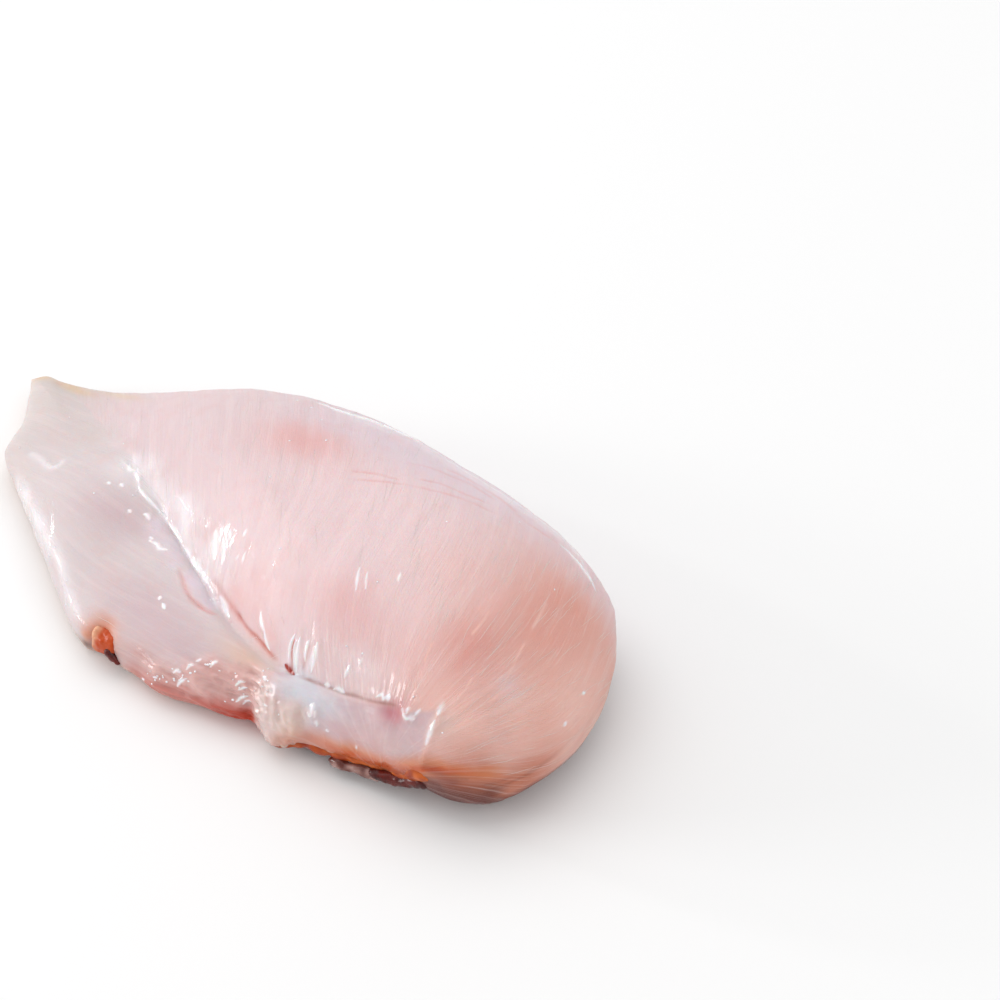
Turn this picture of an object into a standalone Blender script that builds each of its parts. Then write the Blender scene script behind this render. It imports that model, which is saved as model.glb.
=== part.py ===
"""Raw chicken breast, skinless and boneless, lying with its outer side up.

The long way runs along X, from the thin tip at -X to the blunt end at +X. The keel
edge is at +Y. The shoulder edge, with the thin flap, is at -Y. Sizes are in millimetres.
"""

import bpy
import numpy as np

MM = 0.001

# Plan outline at its widest height, from the tip to the blunt end along each edge.
KEEL_RIM = [
    (-96.1, 13.4),
    (-93.6, 16.9),
    (-87.1, 17.4),
    (-73.6, 20.9),
    (-55.6, 31.4),
    (-34.6, 42.4),
    (-11.1, 46.1),
    (15.4, 45.3),
    (41.9, 42.1),
    (63.4, 37.5),
    (79.4, 29.9),
    (90.4, 14.8),
    (95.6, -0.8),
]
SHOULDER_RIM = [
    (95.4, -14.2),
    (91.0, -26.6),
    (82.4, -32.4),
    (67.4, -33.8),
    (50.9, -37.3),
    (38.4, -39.5),
    (24.4, -40.3),
    (8.4, -44.8),
    (-3.6, -44.7),
    (-17.6, -45.5),
    (-32.1, -38.7),
    (-62.1, -21.7),
    (-72.6, -16.1),
    (-78.6, -12.4),
    (-80.8, -8.6),
    (-84.2, -0.8),
    (-91.1, 7.9),
]
RIM_STEPS = 53
PATH_STEPS = 14

# The ribs of the body run from this line to the rim.
SPINE = [(-74.0, 4.0), (-64.0, -0.4), (-40.0, 0.6), (4.0, 3.8), (38.0, 5.0), (56.2, 1.8)]
RIBS = 180
TOP_ROWS = 54
UNDER_ROWS = 8
FLOOR_ROWS = 4
MERGED_BELOW = 0.00001
TRIANGLES_KEPT = 0.21

# Edge section: height of the widest line, how far the underside tucks in, squareness of the shoulder.
TIP_EDGE = np.array([4.0, 4.0, 2.6])
FLAP_EDGE = np.array([4.5, 5.5, 3.3])
BLUNT_EDGE = np.array([13.5, 14.0, 2.1])
KEEL_GROWTH = (-97.0, 58.0)
SHOULDER_GROWTH = (26.0, 90.0)
FLAP_GROWTH = (-94.0, -62.0)

# Height of the flesh along the length, over the main lobe and over the flap beside it.
HEIGHT_X = [-101.0, -78.0, -59.0, -40.0, -21.0, -2.0, 17.0, 41.0, 64.5, 83.5, 97.0]
LOBE_HEIGHT = [9.0, 13.0, 17.0, 23.5, 29.5, 33.5, 36.5, 38.5, 38.8, 38.0, 37.0]
FLAP_HEIGHT = [9.0, 12.5, 16.0, 19.0, 20.0, 20.5, 21.5, 26.5, 34.0, 38.0, 37.0]
LOBE_REACH = 20.0
LOBE_SWELL = 1.9
FLAP_SLOPE = 0.24
FLAP_SLOPE_END = (23.0, 46.0)

# The cleft between lobe and flap, going on as the border of the shoulder sheath.
CLEFT = [
    (-52.6, 0.9),
    (-38.1, -5.3),
    (-21.6, -12.6),
    (-6.1, -19.7),
    (10.4, -27.1),
    (27.4, -32.1),
    (42.4, -32.8),
    (58.4, -30.9),
    (71.4, -28.7),
]
CLEFT_WIDTH = 1.8
CLEFT_DEPTH = 1.6
SHEATH_STEP = 0.9

# Shares of that line: where the lobe rises over the flap, the cleft opens and the sheath runs.
LOBE_RISE = (0.0, 0.32)
LOBE_END = (0.88, 1.0)
CLEFT_OPENING = (0.05, 0.35)
CLEFT_CLOSING = (0.70, 0.78)
SHEATH_OPENING = (0.64, 0.70)
SHEATH_CLOSING = (0.93, 1.0)

# The shallow trough under the film on the keel side.
TROUGH = [(-15.6, 28.9), (20.4, 29.9), (53.4, 29.9)]
TROUGH_DEPTH = 1.3
TROUGH_WIDTH = 6.0

# Small local swellings and nicks of the rim: place along X, outward push, width.
RIM_MARK_FADE = 8
RIM_MARKS = [
    (-12.3, -2.2, 3.0),
    (-17.8, 0.8, 3.0),
    (29.7, -1.6, 3.0),
    (37.2, 2.3, 4.5),
]


def smooth(x, low, high):
    t = np.clip((x - low) / (high - low), 0, 1)
    return t * t * (3 - 2 * t)


def through(points, per_span):
    """Open smooth curve through the points."""
    p = np.array(points, float)
    p = np.vstack([2 * p[0] - p[1], p, 2 * p[-1] - p[-2]])
    t = np.arange(per_span)[:, None] / per_span
    spans = []
    for a, b, c, d in zip(p[:-3], p[1:-2], p[2:-1], p[3:]):
        bend = (2 * a - 5 * b + 4 * c - d) * t**2 + (3 * b - a - 3 * c + d) * t**3
        spans.append(b + ((c - a) * t + bend) / 2)
    return np.vstack(spans + [p[-2]])


def along(curve, shares):
    """Points at the given shares of a curve's length."""
    steps = np.linalg.norm(np.diff(curve, axis=0), axis=1)
    length = np.concatenate([[0], np.cumsum(steps)])
    return np.stack([np.interp(shares * length[-1], length, column) for column in curve.T], 1)


def from_path(path, plan):
    """Distance of plan points from a path, positive on its left, and the share of it passed."""
    curve = through(path, PATH_STEPS)
    step = np.diff(curve, axis=0)
    length = np.linalg.norm(step, axis=1)
    passed = np.concatenate([[0], np.cumsum(length)])
    nearest = np.full(len(plan), np.inf)
    side = np.zeros(len(plan))
    share = np.zeros(len(plan))
    for k in range(len(step)):
        away = plan - curve[k]
        u = np.clip(away @ step[k] / length[k] ** 2, 0, 1)
        gap = np.linalg.norm(away - u[:, None] * step[k], axis=1)
        closer = gap < nearest
        cross = step[k][0] * away[:, 1] - step[k][1] * away[:, 0]
        nearest[closer] = gap[closer]
        side[closer] = np.sign(cross[closer])
        share[closer] = (passed[k] + u[closer] * length[k]) / passed[-1]
    return nearest * side, share


def curve_at(x, heights):
    """Smooth height over the stations of HEIGHT_X."""
    curve = through(np.stack([HEIGHT_X, heights], 1), PATH_STEPS)
    return np.interp(x, curve[:, 0], curve[:, 1])


def crown(plan):
    """Height of the flesh before its sides fall away."""
    x = plan[:, 0]
    lobe = curve_at(x, LOBE_HEIGHT)
    flap = curve_at(x, FLAP_HEIGHT)
    across, passed = from_path(CLEFT, plan)
    drop = lobe - flap - FLAP_SLOPE * np.minimum(across, 0) * (1 - smooth(x, *FLAP_SLOPE_END))
    drop *= smooth(passed, *LOBE_RISE) * (1 - smooth(passed, *LOBE_END))
    height = lobe - drop * (1 - np.clip(across / LOBE_REACH, 0, 1)) ** LOBE_SWELL
    cleft = CLEFT_DEPTH * smooth(passed, *CLEFT_OPENING) * (1 - smooth(passed, *CLEFT_CLOSING))
    sheath = SHEATH_STEP * smooth(passed, *SHEATH_OPENING) * (1 - smooth(passed, *SHEATH_CLOSING))
    height -= (cleft + sheath) * np.exp(-((across / CLEFT_WIDTH) ** 2))
    across, passed = from_path(TROUGH, plan)
    height -= TROUGH_DEPTH * np.exp(-((across / TROUGH_WIDTH) ** 2)) * np.sin(np.pi * passed)
    return height


def edge_section(rim, is_keel):
    """Widest height, tuck and squareness for each rim point."""
    x = rim[:, :1]
    if is_keel:
        grown = smooth(x, *KEEL_GROWTH)
        return TIP_EDGE + (BLUNT_EDGE - TIP_EDGE) * grown
    flap = TIP_EDGE + (FLAP_EDGE - TIP_EDGE) * smooth(x, *FLAP_GROWTH)
    return flap + (BLUNT_EDGE - flap) * smooth(x, *SHOULDER_GROWTH)


def rim_push(x):
    return sum(push * np.exp(-(((x - place) / width) ** 2)) for place, push, width in RIM_MARKS)


def half_body(rim, spine, is_keel):
    """Rows of points from the spine over the top, round the edge and back underneath."""
    height, tuck, square = edge_section(rim, is_keel).T
    arm = rim - spine
    reach = np.linalg.norm(arm, axis=1)
    push = np.zeros(len(rim)) if is_keel else rim_push(rim[:, 0])
    rows = []
    for k in range(TOP_ROWS + 1):
        turn = np.pi / 2 * k / TOP_ROWS
        out = np.sin(turn) ** (2 / square)
        fall = np.cos(turn) ** (2 / square) if k < TOP_ROWS else 0 * square
        plan = spine + arm * (out + push / reach * out**RIM_MARK_FADE)[:, None]
        rows.append(np.column_stack([plan, height + (crown(plan) - height) * fall]))
    for k in range(1, UNDER_ROWS + 1):
        turn = np.pi / 2 * k / UNDER_ROWS
        out = 1 + (push * np.cos(turn) - tuck * (1 - np.cos(turn))) / reach
        rows.append(np.column_stack([spine + arm * out[:, None], height * (1 - np.sin(turn))]))
    for k in range(1, FLOOR_ROWS + 1):
        out = (1 - tuck / reach) * (1 - k / FLOOR_ROWS)
        rows.append(np.column_stack([spine + arm * out[:, None], 0 * height]))
    return np.array(rows)


def body():
    rim = through(KEEL_RIM + SHOULDER_RIM + KEEL_RIM[:1], RIM_STEPS)
    tip = rim[:, 0].argmin()
    rim = np.roll(rim[:-1], -tip, axis=0)
    blunt = rim[:, 0].argmax()
    evenly = np.linspace(0, 1, RIBS + 1)
    keel = along(rim[: blunt + 1], evenly)
    shoulder = along(np.vstack([rim[blunt:], rim[:1]])[::-1], evenly)
    middle = (keel[:, 0] + shoulder[:, 0]) / 2
    share = (middle - middle[0]) / (middle[-1] - middle[0])
    spine = along(through(SPINE, PATH_STEPS), share)
    keel_rows = half_body(keel, spine, True)
    shoulder_rows = half_body(shoulder, spine, False)
    ring = np.concatenate([keel_rows, shoulder_rows[::-1][1:-1]])
    around = len(ring)
    points = ring.transpose(1, 0, 2).reshape(-1, 3)
    points[:, :2] -= (points.min(0) + points.max(0))[:2] / 2
    faces = []
    for i in range(RIBS):
        for j in range(around):
            after = (j + 1) % around
            a, b = i * around + j, i * around + after
            faces.append((a, a + around, b + around, b))
    return points, faces


def flesh_material():
    material = bpy.data.materials.new("raw_flesh")
    material.use_nodes = True
    shader = material.node_tree.nodes["Principled BSDF"]
    shader.inputs["Base Color"].default_value = (0.80, 0.62, 0.58, 1)
    shader.inputs["Roughness"].default_value = 0.35
    shader.inputs["Metallic"].default_value = 0
    return material


for old in list(bpy.data.objects):
    bpy.data.objects.remove(old)

points, faces = body()
mesh = bpy.data.meshes.new("breast")
mesh.from_pydata((points * MM).tolist(), [], faces)
breast = bpy.data.objects.new("breast", mesh)
bpy.context.collection.objects.link(breast)
mesh.materials.append(flesh_material())
mesh.shade_smooth()

weld = breast.modifiers.new("weld", "WELD")
weld.merge_threshold = MERGED_BELOW
thin = breast.modifiers.new("thin", "DECIMATE")
thin.ratio = TRIANGLES_KEPT
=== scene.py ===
"""Raw chicken breast, skinless and boneless, lying with its outer side up on a pale table.

The long way runs along X, from the thin tip at -X to the blunt end at +X. The keel edge is
at +Y and the shoulder edge at -Y. Places and sizes of the meat are in millimetres, which MM
turns into metres. The table, the light and the finishes are in metres.
"""

import math

import bmesh
import bpy
import numpy as np
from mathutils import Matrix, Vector
from mathutils.bvhtree import BVHTree


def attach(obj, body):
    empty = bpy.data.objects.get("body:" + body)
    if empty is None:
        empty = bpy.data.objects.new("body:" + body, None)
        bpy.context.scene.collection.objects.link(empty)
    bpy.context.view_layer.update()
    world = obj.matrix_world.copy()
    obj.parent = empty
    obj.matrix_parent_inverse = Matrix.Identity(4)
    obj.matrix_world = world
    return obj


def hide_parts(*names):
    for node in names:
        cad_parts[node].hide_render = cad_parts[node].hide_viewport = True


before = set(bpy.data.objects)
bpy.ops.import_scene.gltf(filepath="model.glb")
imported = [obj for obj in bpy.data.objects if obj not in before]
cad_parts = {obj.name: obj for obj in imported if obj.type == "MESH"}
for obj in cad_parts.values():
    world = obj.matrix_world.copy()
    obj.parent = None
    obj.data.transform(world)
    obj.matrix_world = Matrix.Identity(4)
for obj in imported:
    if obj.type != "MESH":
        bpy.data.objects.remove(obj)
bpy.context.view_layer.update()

# The table and the light.
# A plain white table in a white room. A wide softbox hangs overhead, one stands on the left,
# one low on the left with a small spot beside it, and a weak one in front.
TABLE_SIZE = 4.0
TABLE_DROP = 0.0002
TABLE_WHITE = (0.92, 0.92, 0.92, 1)
ROOM_LIGHT = 0.62
STUDIO_LEVEL = 1.12
CAMERA_TURN = math.radians(38)
CAMERA_RAISE = math.radians(42)
CAMERA_REACH = 0.5903
CAMERA_LENS = 85
LOOKED_AT = Vector((0.02532, 0.05682, 0))
# Name, turn from the camera's right, raise, distance, width, height, watts.
SOFTBOXES = [
    ("left_spot", 158, 17, 1.1, 0.1, 0.07, 1.2),
    ("low_softbox", 180, 15, 1.1, 0.4, 0.25, 3.0),
    ("left_softbox", 150, 36, 1.8, 2.0, 1.8, 4.0),
    ("top_softbox", 100, 72, 1.8, 2.6, 2.2, 14.0),
    ("front_softbox", -40, 38, 1.8, 1.8, 1.2, 4.2),
]


def srgb(red, green, blue):
    """The surface colour that looks like this, out of 255, under the studio light."""
    shares = [c / 255 for c in (red, green, blue)]
    return [(s / 12.92 if s <= 0.04045 else ((s + 0.055) / 1.055) ** 2.4) / STUDIO_LEVEL for s in shares]


def fill(tree, made, inputs):
    """Gives a node its inputs, each a value or a socket to join."""
    for name, value in dict(inputs).items():
        if isinstance(value, bpy.types.NodeSocket):
            tree.links.new(value, made.inputs[name])
        else:
            made.inputs[name].default_value = value


def node(tree, kind, inputs=(), **settings):
    """Outputs of a new shader node with these settings and inputs."""
    made = tree.nodes.new("ShaderNode" + kind)
    for name, value in settings.items():
        setattr(made, name, value)
    fill(tree, made, inputs)
    return made.outputs


def finish_of(name, inputs):
    """A new material with a Principled shader; gives the material, its tree and the shader."""
    material = bpy.data.materials.new(name)
    material.use_nodes = True
    shader = material.node_tree.nodes["Principled BSDF"]
    fill(material.node_tree, shader, inputs)
    return material, material.node_tree, shader


camera_back = Vector((
    math.sin(CAMERA_TURN) * math.cos(CAMERA_RAISE),
    -math.cos(CAMERA_TURN) * math.cos(CAMERA_RAISE),
    math.sin(CAMERA_RAISE),
))
camera = bpy.data.objects.new("camera", bpy.data.cameras.new("camera"))
camera.data.lens = CAMERA_LENS
camera.data.clip_start = 0.01
camera.location = LOOKED_AT + camera_back * CAMERA_REACH
camera.rotation_euler = (math.pi / 2 - CAMERA_RAISE, 0, CAMERA_TURN)
bpy.context.collection.objects.link(camera)
bpy.context.scene.camera = camera

for name, turn, rise, reach, width, height, watts in SOFTBOXES:
    lamp = bpy.data.lights.new(name, "AREA")
    lamp.shape = "RECTANGLE"
    lamp.size, lamp.size_y = width, height
    lamp.energy = watts
    bearing = CAMERA_TURN + math.radians(turn)
    level = math.cos(math.radians(rise))
    toward = Vector((math.cos(bearing) * level, math.sin(bearing) * level, math.sin(math.radians(rise))))
    stand = bpy.data.objects.new(name, lamp)
    stand.location = toward * reach
    stand.rotation_euler = toward.to_track_quat("Z", "Y").to_euler()
    bpy.context.collection.objects.link(stand)

world = bpy.context.scene.world or bpy.data.worlds.new("room")
bpy.context.scene.world = world
world.use_nodes = True
world.node_tree.nodes["Background"].inputs["Color"].default_value = (1, 1, 1, 1)
world.node_tree.nodes["Background"].inputs["Strength"].default_value = ROOM_LIGHT
bpy.context.scene.view_settings.view_transform = "Standard"

table_mesh = bpy.data.meshes.new("table")
half = TABLE_SIZE / 2
corners = [(-half, -half), (half, -half), (half, half), (-half, half)]
table_mesh.from_pydata([(x, y, -TABLE_DROP) for x, y in corners], [], [(0, 1, 2, 3)])
table = bpy.data.objects.new("table", table_mesh)
bpy.context.collection.objects.link(table)
white, tree, shader = finish_of("table_white", {"Base Color": TABLE_WHITE, "Roughness": 0.9})
speck = node(tree, "TexNoise", {"Scale": 900.0, "Detail": 2.0})
soft_speck = node(tree, "Bump", {"Height": speck[0], "Strength": 0.05, "Distance": 0.0001})
fill(tree, shader, {"Normal": soft_speck["Normal"]})
table_mesh.materials.append(white)


# The flesh.
# One trimmed breast half of pale pink wet muscle: a plump lobe, a thin flap beside the cleft and a
# bluish sheath. Its ribs run from a line inside to the rim, and folds and films are raised on it.
MM = 0.001
KEEL_RIM = [
    (-96.1, 13.4),
    (-93.6, 16.9),
    (-87.1, 17.4),
    (-73.6, 20.9),
    (-55.6, 31.4),
    (-34.6, 42.4),
    (-11.1, 46.1),
    (15.4, 45.3),
    (41.9, 42.1),
    (63.4, 37.5),
    (79.4, 29.9),
    (90.4, 14.8),
    (95.6, -0.8),
]
SHOULDER_RIM = [
    (95.4, -14.2),
    (91.0, -26.6),
    (82.4, -32.4),
    (67.4, -33.8),
    (50.9, -37.3),
    (38.4, -39.5),
    (24.4, -40.3),
    (8.4, -44.8),
    (-3.6, -44.7),
    (-17.6, -45.5),
    (-32.1, -38.7),
    (-62.1, -21.7),
    (-72.6, -16.1),
    (-78.6, -12.4),
    (-80.8, -8.6),
    (-84.2, -0.8),
    (-91.1, 7.9),
]
RIM_STEPS = 53
PATH_STEPS = 14
LINE_STEPS = 5
SPINE = [(-74.0, 4.0), (-64.0, -0.4), (-40.0, 0.6), (4.0, 3.8), (38.0, 5.0), (56.2, 1.8)]
RIBS = 300
TOP_ROWS = 86
UNDER_ROWS = 7
FLOOR_ROWS = 3
TURN_SAMPLES = 400
MERGED_BELOW = 0.00001

# Edge section: height of the widest line, tuck of the underside, squareness of the shoulder.
TIP_EDGE = np.array([4.0, 4.0, 2.6])
FLAP_EDGE = np.array([4.5, 5.5, 3.3])
BLUNT_EDGE = np.array([13.5, 14.0, 2.1])
KEEL_GROWTH = (-97.0, 58.0)
SHOULDER_GROWTH = (26.0, 90.0)
FLAP_GROWTH = (-94.0, -62.0)

# Height of the flesh along the length, over the main lobe and over the flap beside it.
HEIGHT_X = [-101.0, -78.0, -59.0, -40.0, -21.0, -2.0, 17.0, 41.0, 64.5, 83.5, 97.0]
LOBE_HEIGHT = [9.0, 13.0, 17.0, 23.5, 29.5, 33.5, 36.5, 38.5, 38.8, 38.0, 37.0]
FLAP_HEIGHT = [9.0, 12.5, 16.0, 19.0, 20.0, 20.5, 21.5, 26.5, 34.0, 38.0, 37.0]
LOBE_REACH = 20.0
LOBE_SWELL = 1.9
FLAP_SLOPE = 0.24
FLAP_SLOPE_END = (23.0, 46.0)
CLEFT = [
    (-52.6, 0.9),
    (-38.1, -5.3),
    (-21.6, -12.6),
    (-6.1, -19.7),
    (10.4, -27.1),
    (27.4, -32.1),
    (42.4, -32.8),
    (58.4, -30.9),
    (71.4, -28.7),
]
CLEFT_WIDTH = 1.8
CLEFT_DEPTH = 1.6
SHEATH_STEP = 0.9
LOBE_RISE = (0.0, 0.32)
LOBE_END = (0.88, 1.0)
CLEFT_OPENING = (0.05, 0.35)
CLEFT_CLOSING = (0.70, 0.78)
SHEATH_OPENING = (0.64, 0.70)
SHEATH_CLOSING = (0.93, 1.0)
TROUGH = [(-15.6, 28.9), (20.4, 29.9), (53.4, 29.9)]
TROUGH_DEPTH = 1.3
TROUGH_WIDTH = 6.0
RIM_MARK_FADE = 8
RIM_MARKS = [
    (-12.3, -2.2, 3.0),
    (-17.8, 0.8, 3.0),
    (29.7, -1.6, 3.0),
    (37.2, 2.3, 4.5),
]


def smooth(x, low, high):
    t = np.clip((x - low) / (high - low), 0, 1)
    return t * t * (3 - 2 * t)


def through(points, per_span):
    """Open smooth curve through the points."""
    p = np.array(points, float)
    p = np.vstack([2 * p[0] - p[1], p, 2 * p[-1] - p[-2]])
    t = np.arange(per_span)[:, None] / per_span
    spans = []
    for a, b, c, d in zip(p[:-3], p[1:-2], p[2:-1], p[3:]):
        bend = (2 * a - 5 * b + 4 * c - d) * t**2 + (3 * b - a - 3 * c + d) * t**3
        spans.append(b + ((c - a) * t + bend) / 2)
    return np.vstack(spans + [p[-2]])


def along(curve, shares):
    """Points at the given shares of a curve's length."""
    steps = np.linalg.norm(np.diff(curve, axis=0), axis=1)
    length = np.concatenate([[0], np.cumsum(steps)])
    return np.stack([np.interp(shares * length[-1], length, column) for column in curve.T], 1)


def from_path(path, plan, per_span=PATH_STEPS):
    """Distance of plan points from a path, positive on its left, and the share of it passed."""
    curve = through(path, per_span)
    step = np.diff(curve, axis=0)
    length = np.linalg.norm(step, axis=1)
    passed = np.concatenate([[0], np.cumsum(length)])
    nearest = np.full(len(plan), np.inf)
    side = np.zeros(len(plan))
    share = np.zeros(len(plan))
    for k in range(len(step)):
        away = plan - curve[k]
        u = np.clip(away @ step[k] / length[k] ** 2, 0, 1)
        gap = np.linalg.norm(away - u[:, None] * step[k], axis=1)
        closer = gap < nearest
        cross = step[k][0] * away[:, 1] - step[k][1] * away[:, 0]
        nearest[closer] = gap[closer]
        side[closer] = np.sign(cross[closer])
        share[closer] = (passed[k] + u[closer] * length[k]) / passed[-1]
    return nearest * side, share


def curve_at(x, heights):
    """Smooth height over the stations of HEIGHT_X."""
    curve = through(np.stack([HEIGHT_X, heights], 1), PATH_STEPS)
    return np.interp(x, curve[:, 0], curve[:, 1])


def crown(plan):
    """Height of the flesh before its sides fall away."""
    x = plan[:, 0]
    lobe = curve_at(x, LOBE_HEIGHT)
    flap = curve_at(x, FLAP_HEIGHT)
    across, passed = from_path(CLEFT, plan)
    drop = lobe - flap - FLAP_SLOPE * np.minimum(across, 0) * (1 - smooth(x, *FLAP_SLOPE_END))
    drop *= smooth(passed, *LOBE_RISE) * (1 - smooth(passed, *LOBE_END))
    height = lobe - drop * (1 - np.clip(across / LOBE_REACH, 0, 1)) ** LOBE_SWELL
    cleft = CLEFT_DEPTH * smooth(passed, *CLEFT_OPENING) * (1 - smooth(passed, *CLEFT_CLOSING))
    sheath = SHEATH_STEP * smooth(passed, *SHEATH_OPENING) * (1 - smooth(passed, *SHEATH_CLOSING))
    height -= (cleft + sheath) * np.exp(-((across / CLEFT_WIDTH) ** 2))
    across, passed = from_path(TROUGH, plan)
    height -= TROUGH_DEPTH * np.exp(-((across / TROUGH_WIDTH) ** 2)) * np.sin(np.pi * passed)
    return height


def edge_section(rim, is_keel):
    """Widest height, tuck and squareness for each rim point."""
    x = rim[:, :1]
    if is_keel:
        grown = smooth(x, *KEEL_GROWTH)
        return TIP_EDGE + (BLUNT_EDGE - TIP_EDGE) * grown
    flap = TIP_EDGE + (FLAP_EDGE - TIP_EDGE) * smooth(x, *FLAP_GROWTH)
    return flap + (BLUNT_EDGE - flap) * smooth(x, *SHOULDER_GROWTH)


def rim_push(x):
    """Outward push of the small swellings and nicks of the rim."""
    return sum(push * np.exp(-(((x - place) / width) ** 2)) for place, push, width in RIM_MARKS)


def even_turns(square, reach, rise):
    """Turn angles for each rib that space its rows evenly over the top and down the side."""
    turn = np.linspace(0, math.pi / 2, TURN_SAMPLES)
    table = []
    for s, r, h in zip(square, reach, rise):
        out = r * np.sin(turn) ** (2 / s)
        down = h * np.cos(turn) ** (2 / s)
        passed = np.concatenate([[0], np.cumsum(np.hypot(np.diff(out), np.diff(down)))])
        table.append(np.interp(np.linspace(0, passed[-1], TOP_ROWS + 1), passed, turn))
    return np.array(table).T


def half_body(rim, spine, is_keel):
    """Rows of points from the spine to underneath, each with its unrolled place after it."""
    height, tuck, square = edge_section(rim, is_keel).T
    arm = rim - spine
    reach = np.linalg.norm(arm, axis=1)
    outward = arm / reach[:, None]
    push = np.zeros(len(rim)) if is_keel else rim_push(rim[:, 0])
    turns = even_turns(square, reach, crown(spine) - height)
    rows = []
    for k, turn in enumerate(turns):
        out = np.sin(turn) ** (2 / square)
        fall = np.cos(turn) ** (2 / square) if k < TOP_ROWS else 0 * square
        plan = spine + arm * (out + push / reach * out**RIM_MARK_FADE)[:, None]
        top = crown(plan)
        unrolled = plan + outward * ((top - height) * (1 - fall))[:, None]
        rows.append(np.column_stack([plan, height + (top - height) * fall, unrolled]))
    for k in range(1, UNDER_ROWS + 1):
        turn = math.pi / 2 * k / UNDER_ROWS
        out = 1 + (push * np.cos(turn) - tuck * (1 - np.cos(turn))) / reach
        deeper = unrolled + outward * (height * np.sin(turn))[:, None]
        rows.append(np.column_stack([spine + arm * out[:, None], height * (1 - np.sin(turn)), deeper]))
    for k in range(1, FLOOR_ROWS + 1):
        out = (1 - tuck / reach) * (1 - k / FLOOR_ROWS)
        rows.append(np.column_stack([spine + arm * out[:, None], 0 * height, deeper]))
    return np.array(rows)


def body():
    rim = through(KEEL_RIM + SHOULDER_RIM + KEEL_RIM[:1], RIM_STEPS)
    tip = rim[:, 0].argmin()
    rim = np.roll(rim[:-1], -tip, axis=0)
    blunt = rim[:, 0].argmax()
    evenly = np.linspace(0, 1, RIBS + 1)
    keel = along(rim[: blunt + 1], evenly)
    shoulder = along(np.vstack([rim[blunt:], rim[:1]])[::-1], evenly)
    middle = (keel[:, 0] + shoulder[:, 0]) / 2
    share = (middle - middle[0]) / (middle[-1] - middle[0])
    spine = along(through(SPINE, PATH_STEPS), share)
    keel_rows = half_body(keel, spine, True)
    shoulder_rows = half_body(shoulder, spine, False)
    ring = np.concatenate([keel_rows, shoulder_rows[::-1][1:-1]])
    around = len(ring)
    points = ring.transpose(1, 0, 2).reshape(-1, 5)
    points[:, :2] -= (points.min(0) + points.max(0))[:2] / 2
    faces = []
    for i in range(RIBS):
        for j in range(around):
            after = (j + 1) % around
            a, b = i * around + j, i * around + after
            faces.append((a, a + around, b + around, b))
    return points, faces


def grain(points, seed):
    """Smooth random values from -1 to 1 in space, one swell to each unit."""
    cell = np.floor(points)
    part = points - cell
    part = part * part * (3 - 2 * part)
    total = np.zeros(len(points))
    for corner in np.ndindex(2, 2, 2):
        at = cell + corner
        value = np.sin(at @ np.array([127.1, 311.7, 74.7]) + seed * 17.3) * 43758.5453
        weight = np.where(corner, part, 1 - part).prod(axis=1)
        total += weight * (value - np.floor(value))
    return total * 2 - 1


def spot(plan, centre, radius):
    """Round soft mark, 1 at its centre."""
    away = (plan - np.array(centre)) / np.array(radius)
    return np.exp(-(away**2).sum(axis=1))


def stroke(plan, path, width, shift=0.0, fade=0.14):
    """Soft mark along a path that fades at its ends, 1 on its line; shift moves it to its left."""
    path = np.array(path, float)
    margin = 4 * width + abs(shift) + 3
    near = ((plan > path.min(0) - margin) & (plan < path.max(0) + margin)).all(axis=1)
    mark = np.zeros(len(plan))
    across, passed = from_path(path, plan[near], LINE_STEPS)
    ends = smooth(passed, 0, fade) * smooth(1 - passed, 0, fade)
    mark[near] = np.exp(-(((across - shift) / width) ** 2)) * ends
    return mark


def thread_mark(plan, path, width):
    """Mark of a short thread, widest in its middle and pointed at both ends."""
    path = np.array(path, float)
    near = ((plan > path.min(0) - 4 * width) & (plan < path.max(0) + 4 * width)).all(axis=1)
    mark = np.zeros(len(plan))
    across, passed = from_path(path, plan[near], LINE_STEPS)
    mark[near] = np.exp(-((across / (width * np.sin(np.pi * passed) ** 0.7 + 0.001)) ** 2))
    return mark


def shape_points(mesh):
    """Places in millimetres and normals of a mesh's points."""
    count = len(mesh.vertices)
    places = np.empty(count * 3)
    mesh.vertices.foreach_get("co", places)
    normals = np.empty(count * 3)
    mesh.vertex_normals.foreach_get("vector", normals)
    return places.reshape(-1, 3) / MM, normals.reshape(-1, 3)


def give(mesh, name, values):
    """Stores one value, or one vector, for each point of a mesh."""
    kind = "FLOAT" if values.ndim == 1 else "FLOAT_VECTOR"
    layer = mesh.attributes.new(name, kind, "POINT")
    layer.data.foreach_set("value" if values.ndim == 1 else "vector", values.astype(np.float32).ravel())


def object_from(name, points, faces):
    mesh = bpy.data.meshes.new(name)
    mesh.from_pydata((np.asarray(points) * MM).tolist(), [], faces)
    made = bpy.data.objects.new(name, mesh)
    bpy.context.collection.objects.link(made)
    return made


def weld(mesh):
    """Joins the doubled points at the ends and underneath, and turns the faces outwards."""
    work = bmesh.new()
    work.from_mesh(mesh)
    bmesh.ops.remove_doubles(work, verts=work.verts, dist=MERGED_BELOW)
    bmesh.ops.recalc_face_normals(work, faces=work.faces)
    work.to_mesh(mesh)
    work.free()
    mesh.shade_smooth()


points, faces = body()
flesh = object_from("flesh", points[:, :3], faces)
give(flesh.data, "unrolled", np.column_stack([points[:, 3:], 0 * points[:, 0]]))
weld(flesh.data)

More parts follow.
